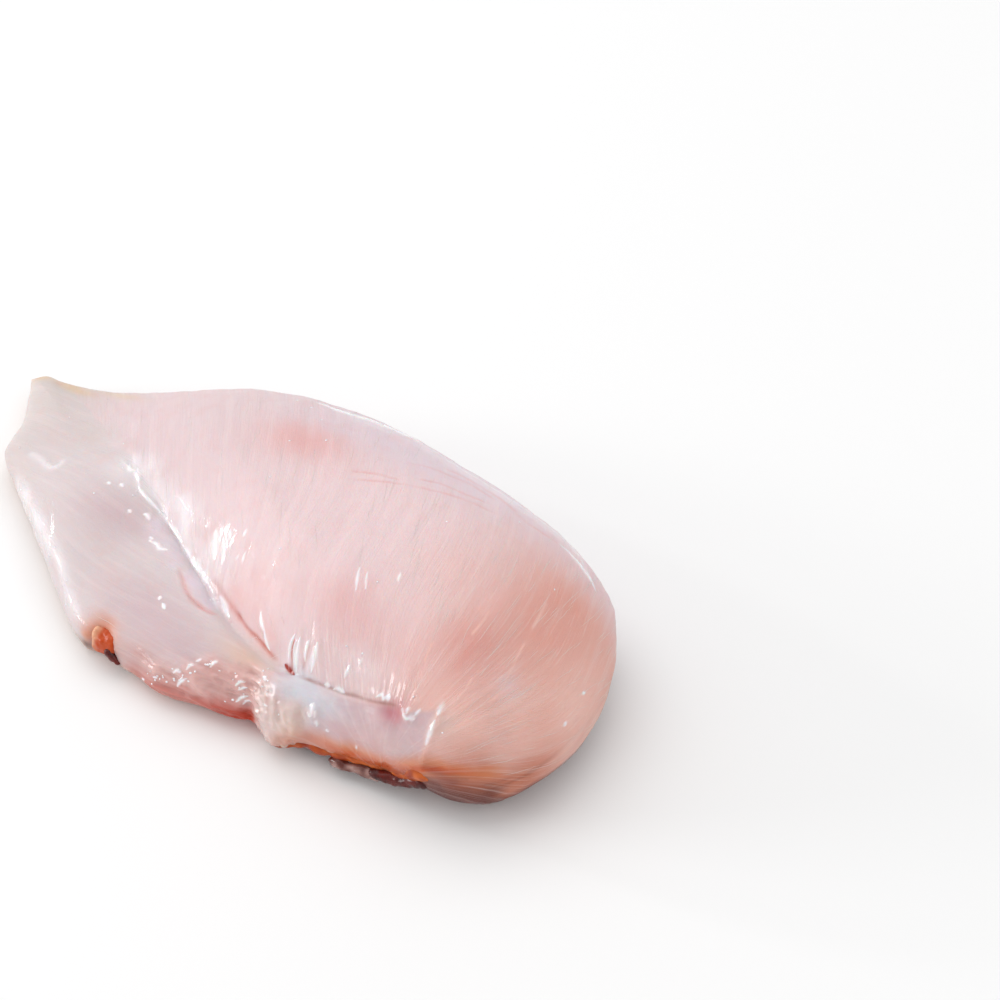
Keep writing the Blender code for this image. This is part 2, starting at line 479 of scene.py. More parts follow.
# Where the cleft, creases, films and folds run, in plan.
CLEFT_RIDGE = [
    (-43.0, -5.5),
    (-40.2, -7.1),
    (-36.5, -8.1),
    (-33.5, -8.8),
    (-31.1, -10.5),
    (-28.7, -12.0),
    (-22.8, -12.9),
    (-19.5, -13.7),
    (-16.2, -14.8),
    (-12.0, -16.4),
    (-8.7, -18.3),
    (-4.7, -20.1),
    (-1.0, -21.6),
    (3.0, -23.2),
    (6.5, -25.0),
    (9.0, -27.0),
    (12.4, -28.6),
]
CREASE = [
    (4.2, -23.0),
    (8.3, -24.7),
    (12.1, -26.2),
    (15.8, -27.5),
    (19.0, -28.7),
    (22.1, -29.8),
    (24.4, -30.3),
    (27.5, -31.1),
    (30.4, -31.8),
    (33.2, -32.2),
]
POCKET_RIM = [(-6.4, -23.4), (-3.3, -25.3), (0.2, -27.7), (4.5, -29.2), (8.9, -29.6), (12.4, -28.8)]
POCKET = [(-5.0, -22.6), (0.5, -25.2), (5.5, -27.2), (10.5, -28.2)]
VALLEY = [(-23.0, -14.8), (-15.0, -18.6), (-9.0, -21.8), (-6.0, -26.0)]
SLOT = [(35.4, -28.9), (35.6, -30.4), (36.5, -31.7), (37.6, -32.9)]
SLOT_FOOT = [(34.6, -32.3), (36.2, -32.7), (38.4, -33.2)]
SIDE_SLOT = [(41.0, -28.6), (41.2, -30.6), (41.4, -32.1)]
SHEATH_BORDER = [
    (38.6, -33.3),
    (44.4, -32.8),
    (48.7, -32.4),
    (51.9, -32.1),
    (54.8, -31.5),
    (60.5, -30.8),
    (64.2, -30.2),
    (67.0, -30.5),
    (69.6, -29.2),
    (72.5, -28.2),
    (75.2, -26.5),
]
WRINKLE_TOP = [
    (-8.0, -44.0),
    (0.7, -44.0),
    (6.1, -42.6),
    (11.9, -39.9),
    (17.1, -37.0),
    (22.4, -36.1),
    (28.3, -35.2),
    (34.5, -35.4),
]
FLAP_LIP = [
    (-70.9, -17.0),
    (-63.3, -21.0),
    (-57.0, -23.7),
    (-53.1, -26.1),
    (-47.3, -28.9),
    (-40.3, -32.3),
    (-36.0, -33.9),
    (-30.0, -37.7),
    (-21.0, -43.1),
    (-16.5, -45.4),
]
TIP_FOLD = [(-68.7, -12.5), (-63.2, -13.4), (-57.4, -15.3), (-55.5, -13.9), (-56.7, -11.1)]
FILM_EDGE = [
    (-8.4, 34.7),
    (2.3, 36.1),
    (15.3, 37.0),
    (30.0, 35.5),
    (45.0, 33.1),
    (60.6, 31.8),
    (66.7, 31.0),
    (73.5, 26.6),
    (78.4, 23.5),
]
FILM_CREASES = [
    [(17.6, 9.0), (25.8, 13.5), (35.5, 17.9), (44.7, 21.0), (53.0, 22.5)],
    [(22.5, 23.4), (26.6, 26.8), (32.7, 28.4), (39.5, 29.2), (48.4, 27.3)],
    [(28.0, 30.5), (33.8, 31.5), (41.1, 31.0), (48.2, 29.3), (54.5, 26.9)],
    [(16.4, 12.1), (21.8, 14.7), (28.4, 16.4)],
    [(29.9, 19.3), (35.0, 22.0), (40.8, 22.9), (48.0, 24.6)],
    [(52.8, 27.2), (57.9, 26.2), (62.8, 26.6), (66.4, 26.3)],
]

# Lines on the near side as seen from the front, along X and up.
FAT_LINE = [
    (38.0, 3.6),
    (43.7, 6.2),
    (50.1, 6.4),
    (53.5, 5.9),
    (57.0, 6.8),
    (63.0, 6.6),
    (66.7, 7.4),
    (71.1, 10.4),
    (75.3, 14.6),
    (79.1, 16.4),
    (83.0, 17.4),
    (90.0, 18.0),
]
SHEATH_END = [
    (74.6, 29.0),
    (75.3, 27.1),
    (75.3, 25.5),
    (75.1, 22.8),
    (75.0, 20.7),
    (74.5, 17.7),
    (74.2, 14.7),
]

# Short white threads of film and painted glints (highlights painted near-white), each with its width: in
# plan, then seen from the front.
PALE_THREADS_AND_GLINTS = [
    ([(-37.4, -7.2), (-36.0, -8.6), (-34.4, -8.0)], 0.5),
    ([(-34.6, -7.2), (-33.0, -8.8), (-31.4, -9.9)], 0.55),
    ([(-29.5, -11.3), (-27.5, -12.2), (-25.5, -12.7), (-21.8, -13.3)], 0.3),
    ([(-17.3, -13.9), (-14.2, -15.3), (-11.2, -16.6)], 0.28),
    ([(-9.0, -18.0), (-6.8, -18.9), (-4.9, -19.9)], 0.5),
    ([(-5.4, -19.7), (-2.2, -20.9), (0.3, -22.0)], 0.7),
    ([(-0.2, -21.8), (2.4, -22.9), (4.5, -23.7)], 0.55),
    ([(8.6, -25.4), (11.5, -26.8), (14.6, -28.4)], 0.4),
    ([(-24.4, -16.2), (-23.4, -15.9), (-21.9, -16.6)], 0.5),
    ([(-18.0, -20.9), (-15.6, -20.9), (-14.0, -21.6), (-11.6, -20.9)], 0.42),
    ([(-18.8, -20.0), (-17.2, -20.4)], 0.3),
    ([(-4.6, -31.4), (-4.0, -32.3)], 0.4),
    ([(-2.8, -32.6), (-1.0, -33.6)], 0.35),
    ([(-38.5, -14.0), (-37.2, -14.2)], 0.35),
    ([(-35.2, -12.8), (-33.8, -13.2)], 0.42),
    ([(-28.4, -17.2), (-27.2, -17.4)], 0.4),
    ([(23.2, -26.6), (24.4, -28.2), (27.0, -29.6)], 0.28),
    ([(26.4, -29.4), (28.0, -30.6), (29.8, -31.4)], 0.25),
    ([(35.0, -28.4), (34.9, -30.0), (35.5, -31.8)], 0.3),
    ([(36.5, -28.4), (37.1, -30.4), (38.6, -32.8)], 0.4),
    ([(38.9, -28.0), (39.1, -29.6), (39.9, -31.2)], 0.3),
    ([(41.2, -27.8), (41.7, -29.8), (42.4, -32.0)], 0.5),
    ([(50.7, -28.4), (50.6, -29.4), (50.5, -30.4)], 0.35),
    ([(52.5, -27.0), (53.0, -27.0)], 0.5),
    ([(46.4, -32.4), (48.0, -32.2)], 0.35),
    ([(48.8, -32.4), (50.0, -32.0), (52.0, -31.9)], 0.35),
    ([(59.6, -30.2), (60.8, -29.6), (61.6, -29.9), (62.6, -28.9)], 0.28),
    ([(61.9, -29.8), (63.2, -29.4)], 0.35),
    ([(93.1, -0.3), (93.5, -0.3)], 0.6),
    ([(94.4, -8.8), (94.8, -8.8)], 0.6),
    ([(-1.7, -14.8), (0.9, -17.7), (2.8, -20.4)], 1.05),
    ([(1.9, -16.2), (4.3, -18.6), (5.6, -20.9)], 0.55),
    ([(2.6, -14.6), (4.6, -16.6)], 0.45),
    ([(7.6, -13.9), (8.2, -15.8)], 0.4),
    ([(9.2, -19.2), (9.9, -19.9)], 0.35),
    ([(11.1, -18.4), (12.0, -20.4)], 0.25),
    ([(40.3, -12.2), (41.8, -14.8), (43.6, -17.5)], 0.28),
    ([(42.7, -12.4), (43.8, -14.2), (45.2, -16.1)], 0.22),
    ([(48.7, -8.2), (49.3, -9.6), (49.9, -10.8)], 0.28),
    ([(-15.7, 35.9), (-5.9, 35.5), (2.3, 37.1), (10.7, 38.3), (17.0, 37.5)], 1.0),
    ([(65.4, 26.9), (70.3, 26.4), (75.0, 25.4), (78.9, 23.5)], 0.5),
]
NEAR_THREADS_AND_GLINTS = [
    ([(66.8, 25.0), (67.8, 24.5)], 0.25),
    ([(67.6, 24.4), (68.6, 23.9), (69.6, 24.0)], 0.5),
    ([(69.2, 24.0), (70.1, 24.4), (70.8, 24.3)], 0.65),
    ([(68.2, 25.8), (68.8, 24.8)], 0.35),
    ([(70.2, 24.8), (71.0, 26.4)], 0.3),
    ([(74.9, 29.0), (75.1, 27.8), (75.2, 26.6)], 0.5),
    ([(75.1, 26.0), (75.1, 23.4), (75.0, 20.4)], 0.5),
    ([(46.2, 18.0), (46.4, 16.6), (46.8, 15.2)], 0.55),
    ([(47.1, 16.8), (47.6, 15.2)], 0.35),
    ([(45.2, 15.8), (46.6, 14.9)], 0.3),
    ([(47.8, 14.8), (48.2, 13.0)], 0.4),
    ([(50.2, 13.2), (51.0, 12.4)], 0.35),
    ([(57.6, 11.1), (58.1, 11.1)], 0.6),
    ([(1.3, 4.0), (2.6, 5.2)], 0.3),
    ([(5.4, 7.4), (6.6, 7.8)], 0.25),
    ([(10.2, 10.1), (10.9, 11.0), (12.2, 10.9)], 0.26),
    ([(12.9, 11.6), (13.4, 12.6), (14.2, 12.8)], 0.25),
    ([(12.0, 7.7), (12.4, 9.0), (13.8, 10.3)], 0.32),
    ([(14.1, 13.5), (15.1, 14.1)], 0.22),
    ([(18.0, 13.6), (18.3, 14.4), (19.1, 14.8)], 0.26),
    ([(25.2, 12.0), (26.1, 13.4), (27.3, 13.6)], 0.26),
    ([(26.0, 11.4), (27.4, 12.4), (28.2, 12.6)], 0.24),
    ([(26.0, 8.5), (27.2, 9.9), (28.5, 10.5)], 0.28),
    ([(27.2, 7.8), (28.2, 9.1), (29.5, 9.6)], 0.26),
    ([(31.5, 16.9), (33.0, 17.3)], 0.3),
    ([(34.1, 12.9), (36.0, 13.8)], 0.3),
]

# Long pale fibres at the blunt end, in plan.
LONG_FIBRES = [
    [(80.3, -3.8), (81.2, -8.0), (82.3, -12.4), (83.1, -16.4), (83.3, -20.0), (82.9, -22.6)],
    [(77.2, -18.4), (77.5, -21.9), (77.2, -25.4), (77.9, -28.0)],
    [(70.5, -4.4), (71.2, -8.2), (71.4, -12.4)],
    [(76.7, 8.0), (78.5, 2.8), (79.6, -1.6)],
    [(65.5, -17.5), (66.0, -20.2), (66.7, -22.5)],
]

# The muscle fibres fan out from a far point over the lobe, and from the shoulder at the blunt end.
LOBE_FAN = (130.0, -175.0)
LOBE_FAN_REACH = 190.0
LOBE_FAN_TURN = -0.277
SHOULDER_FAN = (82.0, -62.0)
SHOULDER_FAN_REACH = 45.0
SHOULDER_FAN_FADE = (25.0, 100.0)
FLAP_FIBRE_TURN = math.radians(-4)


def finer_where(mesh, close):
    """Halves the faces whose points are all marked."""
    work = bmesh.new()
    work.from_mesh(mesh)
    work.verts.ensure_lookup_table()
    edges = [e for e in work.edges if close[e.verts[0].index] and close[e.verts[1].index]]
    bmesh.ops.subdivide_edges(work, edges=edges, cuts=1, use_grid_fill=True)
    work.to_mesh(mesh)
    work.free()


def within(mesh, paths, reach):
    """Marks the points of a mesh's upper side that lie within reach of any of the paths, in plan."""
    places, _ = shape_points(mesh)
    close = np.zeros(len(places), bool)
    for path in paths:
        path = np.array(path)
        near = ((places[:, :2] > path.min(0) - reach) & (places[:, :2] < path.max(0) + reach)).all(axis=1)
        near &= places[:, 2] > 4
        across, _ = from_path(path, places[near, :2], LINE_STEPS)
        close[np.flatnonzero(near)[np.abs(across) < reach]] = True
    return close


x, y, z = shape_points(flesh.data)[0].T
finer_where(flesh.data, (x > -10) & (x < 80) & (y < -27) & (z > 1.5))
sharp_lines = [CLEFT_RIDGE, CREASE, POCKET_RIM, SLOT, SIDE_SLOT]
finer_where(flesh.data, within(flesh.data, sharp_lines, 2.2))
finer_where(flesh.data, within(flesh.data, [path for path, _ in PALE_THREADS_AND_GLINTS] + LONG_FIBRES, 1.2))
finer_where(flesh.data, within(flesh.data, [FILM_EDGE], 1.0))
flesh.data.shade_smooth()
places, normals = shape_points(flesh.data)
unrolled = np.empty(len(places) * 3)
flesh.data.attributes["unrolled"].data.foreach_get("vector", unrolled)
unrolled = unrolled.reshape(-1, 3)[:, :2]
plan = places[:, :2]
front = places[:, ::2]
x, y, z = places.T

from_lobe_fan = unrolled - LOBE_FAN
from_shoulder_fan = unrolled - SHOULDER_FAN
lobe_across = LOBE_FAN_REACH * (np.arctan2(*from_lobe_fan.T) - LOBE_FAN_TURN)
shoulder_across = SHOULDER_FAN_REACH * np.arctan2(*from_shoulder_fan.T)
fan_share = smooth(np.linalg.norm(from_shoulder_fan, axis=1), *SHOULDER_FAN_FADE)
fibre_across = shoulder_across + (lobe_across - shoulder_across) * fan_share
fibre_along = np.linalg.norm(from_lobe_fan, axis=1)
lobe_fibre = np.column_stack([fibre_along, fibre_across, 0 * x])
flap_along = unrolled[:, 0] * math.cos(FLAP_FIBRE_TURN) + unrolled[:, 1] * math.sin(FLAP_FIBRE_TURN)
flap_across = unrolled[:, 1] * math.cos(FLAP_FIBRE_TURN) - unrolled[:, 0] * math.sin(FLAP_FIBRE_TURN)
flap_fibre = np.column_stack([flap_along, flap_across, 0 * x])


def swells(size_x, size_y, size_z, seed):
    """Soft random swelling of the flesh, of the given sizes."""
    return grain(np.column_stack([x / size_x, y / size_y, z / size_z]), seed)


def grown_along(along_fibre, across_fibre, length, width, seed):
    """Random swelling drawn out along the fibres."""
    return grain(np.column_stack([along_fibre / length, across_fibre / width, 0 * x]), seed)


def folded(values):
    """Rounded folds with sharp creases between them."""
    return 1 - 2 * np.abs(values)


# The regions of the skin, each a share from 0 to 1.
near_side = smooth(-y, 24, 29)
above_table = smooth(z, 0.3, 3.0)
across_cleft, _ = from_path(CLEFT, plan, 8)
cleft_blur = 0.8 + 30 * (1 - smooth(x, -80, -38))
flap = smooth(-across_cleft, -cleft_blur, cleft_blur) * (1 - smooth(x, 34, 46))
across_border, _ = from_path(SHEATH_BORDER, plan, 6)
ragged_edge = 2.2 * swells(3.5, 3.5, 3.5, 12)
from_left = smooth(x + 0.35 * z + ragged_edge, 38, 47)
sheath = smooth(-across_border, 0.1, 1.0) * from_left * (1 - smooth(x, 73.5, 75.5)) * near_side
across_wrinkle, _ = from_path(WRINKLE_TOP, plan, LINE_STEPS)
wrinkled = smooth(-across_wrinkle + 0.8 * ragged_edge, -1.5, 3.0) * smooth(x, -11, -5)
wrinkled *= (1 - smooth(x, 31, 36)) * smooth(z, 1.5, 4)
above_border = smooth(across_border, 0, 0.7) * (1 - smooth(across_border, 4, 12)) * smooth(x, 34, 38)
above_border *= 1 - smooth(x, 66, 74)
along_tear = x + 0.5 * ragged_edge
torn = smooth(along_tear, 29, 33) * (1 - smooth(along_tear - 0.3 * (z - 10), 42, 46))
torn *= smooth(-y, 34, 38) * smooth(z, 1.5, 4) * (1 - smooth(z, 15, 18))
film = smooth(y, 12, 30) * smooth(x, -30, 5)
# The low part of the blunt end, which takes painted shade and curved fibre lines.
blunt_end = smooth(x, 74, 84) * (1 - smooth(z, 14, 22)) * (1 - 0.8 * smooth(y, -22, -10))
lean = (1 - flap) * (1 - sheath)
beside_cleft = stroke(plan, CLEFT_RIDGE, 3.0, 3.0)

# Relief along the skin's way out: broad swells, fibre bundles, then folds.
relief = 0.45 * swells(26, 20, 20, 1)
relief += 0.20 * grown_along(fibre_along, fibre_across, 30, 6, 2) * lean
relief += 0.10 * grown_along(fibre_along, fibre_across, 12, 1.9, 3) * lean
relief += 0.035 * grown_along(fibre_along, fibre_across, 7, 0.9, 16) * lean
relief += 0.14 * grown_along(flap_along, flap_across, 24, 4, 4) * flap
relief += 0.06 * grown_along(flap_along, flap_across, 12, 1.6, 5) * flap
relief += 0.14 * folded(grown_along(fibre_along, fibre_across, 9, 0.9, 6)) * above_border
comb = smooth(grown_along(fibre_along, fibre_across, 5, 0.9, 22), 0.0, 0.7) * beside_cleft
relief += 0.06 * comb
relief += (0.28 * swells(4.5, 3, 3, 17) + 0.08 * swells(1.6, 1.2, 1.2, 25)) * sheath
folds = folded(swells(11, 2.0, 2.0, 7))
small_folds = 0.25 * folded(swells(4.2, 1.2, 1.2, 8)) + 0.12 * swells(1.1, 0.7, 0.7, 18)
relief += (0.5 * folds + small_folds) * wrinkled
torn_across = 0.85 * x + 0.52 * z
torn_along = 0.52 * x - 0.85 * z
torn_folds = folded(grown_along(torn_along, torn_across, 6, 1.5, 14))
torn_crumbs = 0.35 * folded(swells(2.2, 1.8, 1.8, 19)) + 0.12 * swells(0.8, 0.8, 0.8, 26)
relief += (0.22 * torn_folds + torn_crumbs) * torn

# Ridges and grooves along the lines: path, width, shift to its left, rise.
uneven = 0.7 + 0.55 * swells(3.2, 3.2, 3.2, 13)
for path, width, shift, rise in (
    (CLEFT[:5], 1.8, 0.0, 0.7),
    (CLEFT_RIDGE, 0.28, 0.0, 0.28),
    (CLEFT_RIDGE, 0.7, -1.0, -0.2),
    (CREASE[3:], 0.26, 0.0, -0.5),
    (CREASE[:5], 0.4, 0.0, -0.25),
    (CREASE[2:], 0.9, 1.1, 0.3),
    (POCKET_RIM, 0.4, 0.0, -0.5),
    (POCKET_RIM, 0.7, -1.1, 0.2),
    (SLOT, 0.25, 0.55, 0.25),
    (SLOT, 0.25, -0.55, 0.2),
    (SIDE_SLOT, 0.4, 0.0, 0.2),
    (SHEATH_BORDER[:8], 0.7, 0.9, 0.3),
    (SHEATH_BORDER[:8], 0.3, 0.0, -0.16),
    (FLAP_LIP, 0.8, 0.0, 0.45),
    (FLAP_LIP, 0.9, -1.8, -0.2),
    (TIP_FOLD, 0.9, 0.0, 0.14),
    (FILM_EDGE, 0.45, 0.0, 0.28),
    (FILM_EDGE, 0.9, -1.5, -0.12),
):
    relief += rise * uneven * stroke(plan, path, width, shift)
for path in FILM_CREASES:
    relief -= 0.14 * uneven * stroke(plan, path, 0.45)
relief += 0.2 * stroke(front, SHEATH_END, 0.8, 0.6) * near_side
for path in LONG_FIBRES:
    relief += 0.06 * stroke(plan, path, 0.25)
# Marks of the pale threads and painted glints, raised a little and painted near-white below.
pale_and_glint_marks = np.zeros(len(places))
for path, width in PALE_THREADS_AND_GLINTS:
    pale_and_glint_marks = np.maximum(pale_and_glint_marks, thread_mark(plan, path, width) * (z > 4))
for path, width in NEAR_THREADS_AND_GLINTS:
    pale_and_glint_marks = np.maximum(pale_and_glint_marks, thread_mark(front, path, width) * near_side)
pale_and_glint_marks *= np.clip(1.0 + 0.5 * swells(1.3, 1.3, 1.3, 27), 0.5, 1)
relief += 0.15 * pale_and_glint_marks

# Swellings and hollows of the near side: place along X and up, reach, rise.
for centre, reach, rise in (
    ((66.5, 15.0), (6.5, 5.0), 0.9),
    ((64.3, 22.8), (2.2, 1.3), -0.7),
    ((68.5, 24.4), (1.8, 1.4), 0.9),
    ((46.9, 15.0), (1.4, 2.6), 0.7),
    ((42.2, 11.2), (2.4, 4.2), 1.1),
    ((38.6, 5.2), (2.6, 1.8), 0.7),
    ((20.5, 8.5), (6.5, 2.6), 0.7),
    ((23.0, 4.2), (8.0, 3.6), 0.8),
    ((-18.0, 5.0), (3.4, 4.2), -1.5),
):
    relief += rise * spot(front, centre, reach) * near_side
relief -= 1.8 * spot(front, (-11.8, 5.2), (3.4, 3.6)) * smooth(-y, 40, 42.5)
moved = places + normals * (relief * above_table)[:, None]
flesh.data.vertices.foreach_set("co", (moved * MM).ravel())

# Colours as the eye sees them under white light, and the painted shade and painted highlights laid on
# below.
LEAN_PINK = srgb(240, 213, 215)
FLAP_WHITE = srgb(219, 206, 207)
FLAP_PINK = srgb(212, 184, 189)
TIP_GREY = srgb(214, 202, 198)
TIP_YELLOW = srgb(228, 196, 160)
BLUSH_RED = srgb(234, 172, 168)
WARM_PEACH = srgb(236, 174, 156)
PEACH_DEEP = srgb(230, 148, 128)
END_PALE = srgb(250, 202, 190)
END_SHADE_TAN = srgb(196, 104, 64)
SHADE_AND_FIBRE_BROWN = srgb(92, 24, 12)
SHEATH_BLUE = srgb(220, 223, 232)
SHEATH_MAUVE = srgb(216, 186, 190)
POCKET_RED = srgb(200, 116, 128)
WRINKLE_PINK = srgb(232, 176, 168)
WRINKLE_TAN = srgb(198, 146, 140)
WRINKLE_DEEP = srgb(150, 40, 12)
WRINKLE_GOLD = srgb(230, 190, 168)
CREASE_RED = srgb(206, 84, 52)
SLOT_RED = srgb(168, 40, 22)
BORDER_BROWN = srgb(176, 122, 112)
THREAD_AND_GLINT_WHITE = srgb(255, 252, 255)
BLUSH_DEEP = srgb(224, 146, 134)
NOTCH_SHADE_DARK = srgb(60, 14, 10)
FILM_LILAC = srgb(230, 214, 226)
PALE_FILM_AND_HIGHLIGHT = srgb(250, 244, 248)
LEFT_PINK = srgb(224, 202, 205)
FAT_PEACH = srgb(230, 142, 92)
FAT_ORANGE = srgb(212, 92, 32)
FAT_CREAM = srgb(242, 218, 208)
RAGGED_PALE = srgb(226, 202, 196)
RIM_TAN = srgb(218, 176, 150)
RIM_RED = srgb(188, 50, 8)

tint = np.tile(np.array(LEAN_PINK), (len(places), 1))


def paint(colour, share):
    """Lays a colour over the skin's tint, by its share at each point."""
    tint[:] = tint + (np.array(colour) - tint) * np.clip(share, 0, 1)[:, None]


cloud = swells(14, 14, 14, 10)
small_cloud = swells(4, 4, 4, 20)
# Warmer towards the blunt end: partly the meat's own peach tone, partly painted warm bounce light.
paint(WARM_PEACH, smooth(x + 6 * cloud, 38, 96) * 0.8)
paint(LEFT_PINK, (1 - smooth(x, -25, 25)) * 0.6)
paint(FLAP_WHITE, flap * 0.9)
paint(TIP_GREY, (1 - smooth(x, -88, -50)) * 0.8)
paint(FILM_LILAC, film * 0.55)

# Soft blushes seen from above: colour, place, reach, share.
for colour, centre, reach, share in (
    (BLUSH_RED, (-1.5, 16.5), (13, 8), 0.7),
    (BLUSH_RED, (43.5, -20.0), (9, 6), 0.45),
    (PEACH_DEEP, (80.0, 3.0), (12, 13), 0.5),
    (BLUSH_DEEP, (73.0, -14.5), (6.5, 8.0), 0.6),
    (PEACH_DEEP, (79.5, 13.0), (7, 5), 0.35),
    (PALE_FILM_AND_HIGHLIGHT, (54.5, -27.6), (7.0, 3.0), 0.45),
    (FILM_LILAC, (83.8, -15.4), (2.4, 3.0), 0.45),
    (END_PALE, (95.0, -5.0), (7, 13), 0.9),
    # Paler patches on the side of the blunt end: painted light where it faces away from the lamps.
    (END_PALE, (79.0, -27.0), (8, 4.5), 1.0),
    (END_PALE, (88.0, -18.5), (7, 6), 0.55),
    (PEACH_DEEP, (94.5, -15.5), (4.5, 6.0), 0.2),
    (WRINKLE_GOLD, (24.0, -34.5), (8, 3), 0.7),
    (BLUSH_RED, (59.0, -24.6), (14, 5), 0.25),
    (BLUSH_RED, (22.0, -24.0), (9, 4), 0.25),
    (FLAP_PINK, (-30.0, -19.5), (12, 5), 0.75),
    # A lighter spot near the top of the cleft: painted light over the shade of the valley there.
    (PALE_FILM_AND_HIGHLIGHT, (-37.0, -9.5), (7, 3.5), 0.35),
    (FLAP_PINK, (8.0, -39.0), (12, 4), 0.7),
    (WRINKLE_TAN, (1.0, -44.0), (6, 3), 0.7),
    (FLAP_PINK, (-5.0, -35.0), (16, 6), 0.75),
    (TIP_GREY, (-56.0, -1.0), (7, 5), 0.6),
    (TIP_YELLOW, (-82.3, 14.7), (6, 2.2), 0.8),
    (TIP_YELLOW, (-77.0, 13.0), (5, 1.6), 0.7),
    (TIP_YELLOW, (-66.0, 17.0), (7, 2.0), 0.6),
    (TIP_YELLOW, (-92.0, 14.0), (3, 2.4), 0.8),
):
    paint(colour, spot(plan, centre, reach) * share)
# Strokes along the lines. The pale ones on the cleft ridge, slots, flap lip, tip fold and film edge are
# pale film with painted highlights on it.
for path, width, shift, colour, share in (
    (VALLEY, 2.8, 0.0, FILM_LILAC, 0.8),
    (POCKET, 1.8, 0.0, FILM_LILAC, 0.9),
    (POCKET_RIM, 0.6, 0.0, BLUSH_RED, 0.8),
    (CLEFT_RIDGE, 1.8, 2.0, PALE_FILM_AND_HIGHLIGHT, 0.45),
    (CLEFT_RIDGE, 0.36, 0.0, PALE_FILM_AND_HIGHLIGHT, 1.0),
    (CREASE, 1.5, 1.6, BLUSH_RED, 0.35),
    (CREASE[3:], 0.32, 0.0, CREASE_RED, 0.9),
    (CREASE[:5], 0.45, 0.0, CREASE_RED, 0.55),
    (SLOT, 0.5, 0.7, PALE_FILM_AND_HIGHLIGHT, 0.8),
    (SLOT, 0.45, -0.7, PALE_FILM_AND_HIGHLIGHT, 0.8),
    (SLOT, 0.2, 0.0, CREASE_RED, 0.9),
    (SIDE_SLOT, 0.5, 0.0, PALE_FILM_AND_HIGHLIGHT, 0.8),
    (SIDE_SLOT, 0.3, -1.5, CREASE_RED, 0.35),
    (FLAP_LIP, 1.1, 0.2, PALE_FILM_AND_HIGHLIGHT, 0.8),
    (TIP_FOLD, 0.9, 0.0, PALE_FILM_AND_HIGHLIGHT, 0.6),
    (FILM_EDGE, 2.0, -0.8, PALE_FILM_AND_HIGHLIGHT, 0.5),
    (FILM_EDGE, 0.5, 0.0, THREAD_AND_GLINT_WHITE, 0.5),
):
    paint(colour, stroke(plan, path, width, shift) * share * (0.75 + 0.35 * small_cloud))
for path in LONG_FIBRES:
    paint(END_PALE, stroke(plan, path, 0.25) * (0.75 + 0.4 * small_cloud))
for path in FILM_CREASES:
    paint(BLUSH_RED, stroke(plan, path, 0.45) * (0.3 + 0.25 * small_cloud))
paint(RIM_TAN, (1 - smooth(z, 2, 6)) * (1 - smooth(x, 20, 50)) * 0.6)
paint(WRINKLE_PINK, wrinkled * 0.8)
# Painted shade: tan darkening in the creases between the folds.
paint(WRINKLE_TAN, wrinkled * (0.35 - 0.35 * folds))
low_rim = (1 - smooth(z, 5.0, 9.5 + 1.5 * small_cloud)) * smooth(-y, 30, 36)
low_rim *= smooth(x, -6, 0) * (1 - smooth(x, 30, 34))
paint(RIM_RED, low_rim * (0.45 + 0.55 * smooth(x, 12, 28)))
left_of_patch = 1 - smooth(x, -14, -5)
paint(PALE_FILM_AND_HIGHLIGHT, stroke(plan, CLEFT_RIDGE, 3.2, 3.4) * left_of_patch * 0.35)
paint(THREAD_AND_GLINT_WHITE, comb * (0.3 + 0.15 * left_of_patch))
# Painted highlights and pale threads, laid on near-white.
paint(THREAD_AND_GLINT_WHITE, pale_and_glint_marks * 1.3)

# The near side of the shoulder end: sheath, torn tissue, fat and painted shade on the lower flesh.
# Painted shade: the low part of the blunt end darkened to tan.
paint(END_SHADE_TAN, blunt_end * 0.85)
paint(SHEATH_MAUVE, sheath * 0.95)
for colour, mark, share in (
    (SHEATH_BLUE, spot(front, (41.5, 18.6), (5.5, 3.0)), 0.8),
    (SHEATH_BLUE, spot(front, (48.5, 18.4), (7.0, 2.6)), 0.55),
    (SHEATH_BLUE, spot(front, (46.8, 15.5), (3.6, 3.6)), 0.5),
    (BLUSH_RED, spot(front, (60.0, 13.0), (9.0, 4.0)), 0.25),
    (POCKET_RED, spot(front, (64.3, 22.8), (3.0, 1.6)), 0.7),
    (POCKET_RED, spot(front, (66.0, 24.1), (2.1, 2.3)), 0.65),
    (RAGGED_PALE, spot(front, (67.0, 15.0), (5.0, 3.6)), 0.35),
    (RAGGED_PALE, spot(front, (77.2, 26.0), (2.8, 4.0)), 0.6),
):
    paint(colour, mark * share * near_side)
paint(RAGGED_PALE, torn * 0.85)
# Painted shade: tan in the creases of the torn folds.
paint(WRINKLE_TAN, torn * smooth(-torn_folds, -0.2, 0.6) * 0.5)
paint(FAT_CREAM, spot(front, (42.2, 11.0), (2.6, 4.6)) * smooth(-y, 34, 37) * 0.9)
over_line = z - np.interp(x, *np.array(FAT_LINE).T) - 1.0 * (1 - smooth(x, 70, 76)) + 0.5 * small_cloud
fat_side = near_side * smooth(x, 36, 42)
fat_thin = 1 - 0.6 * smooth(x, 66, 78)
peach_thin = 1 - 0.6 * smooth(x, 72, 84)
peach_band = (1 - smooth(np.abs(over_line) / peach_thin, 1.5, 6.5)) * (0.5 + 0.5 * smooth(x, 44, 56))
# Painted shade below the fat line, where the underside turns in under the seam.
painted_shade_below = smooth(-over_line, 0.6, 4.0 + 3 * smooth(x, 74, 86)) * (1 - smooth(x, 90, 94))
orange_band = (1 - smooth(np.abs(over_line), 0.3, 3.4 * fat_thin)) * (0.25 + 0.7 * smooth(x, 46, 56))
paint(FAT_PEACH, peach_band * fat_side * 0.85)
paint(SHADE_AND_FIBRE_BROWN, painted_shade_below * fat_side * 0.85)
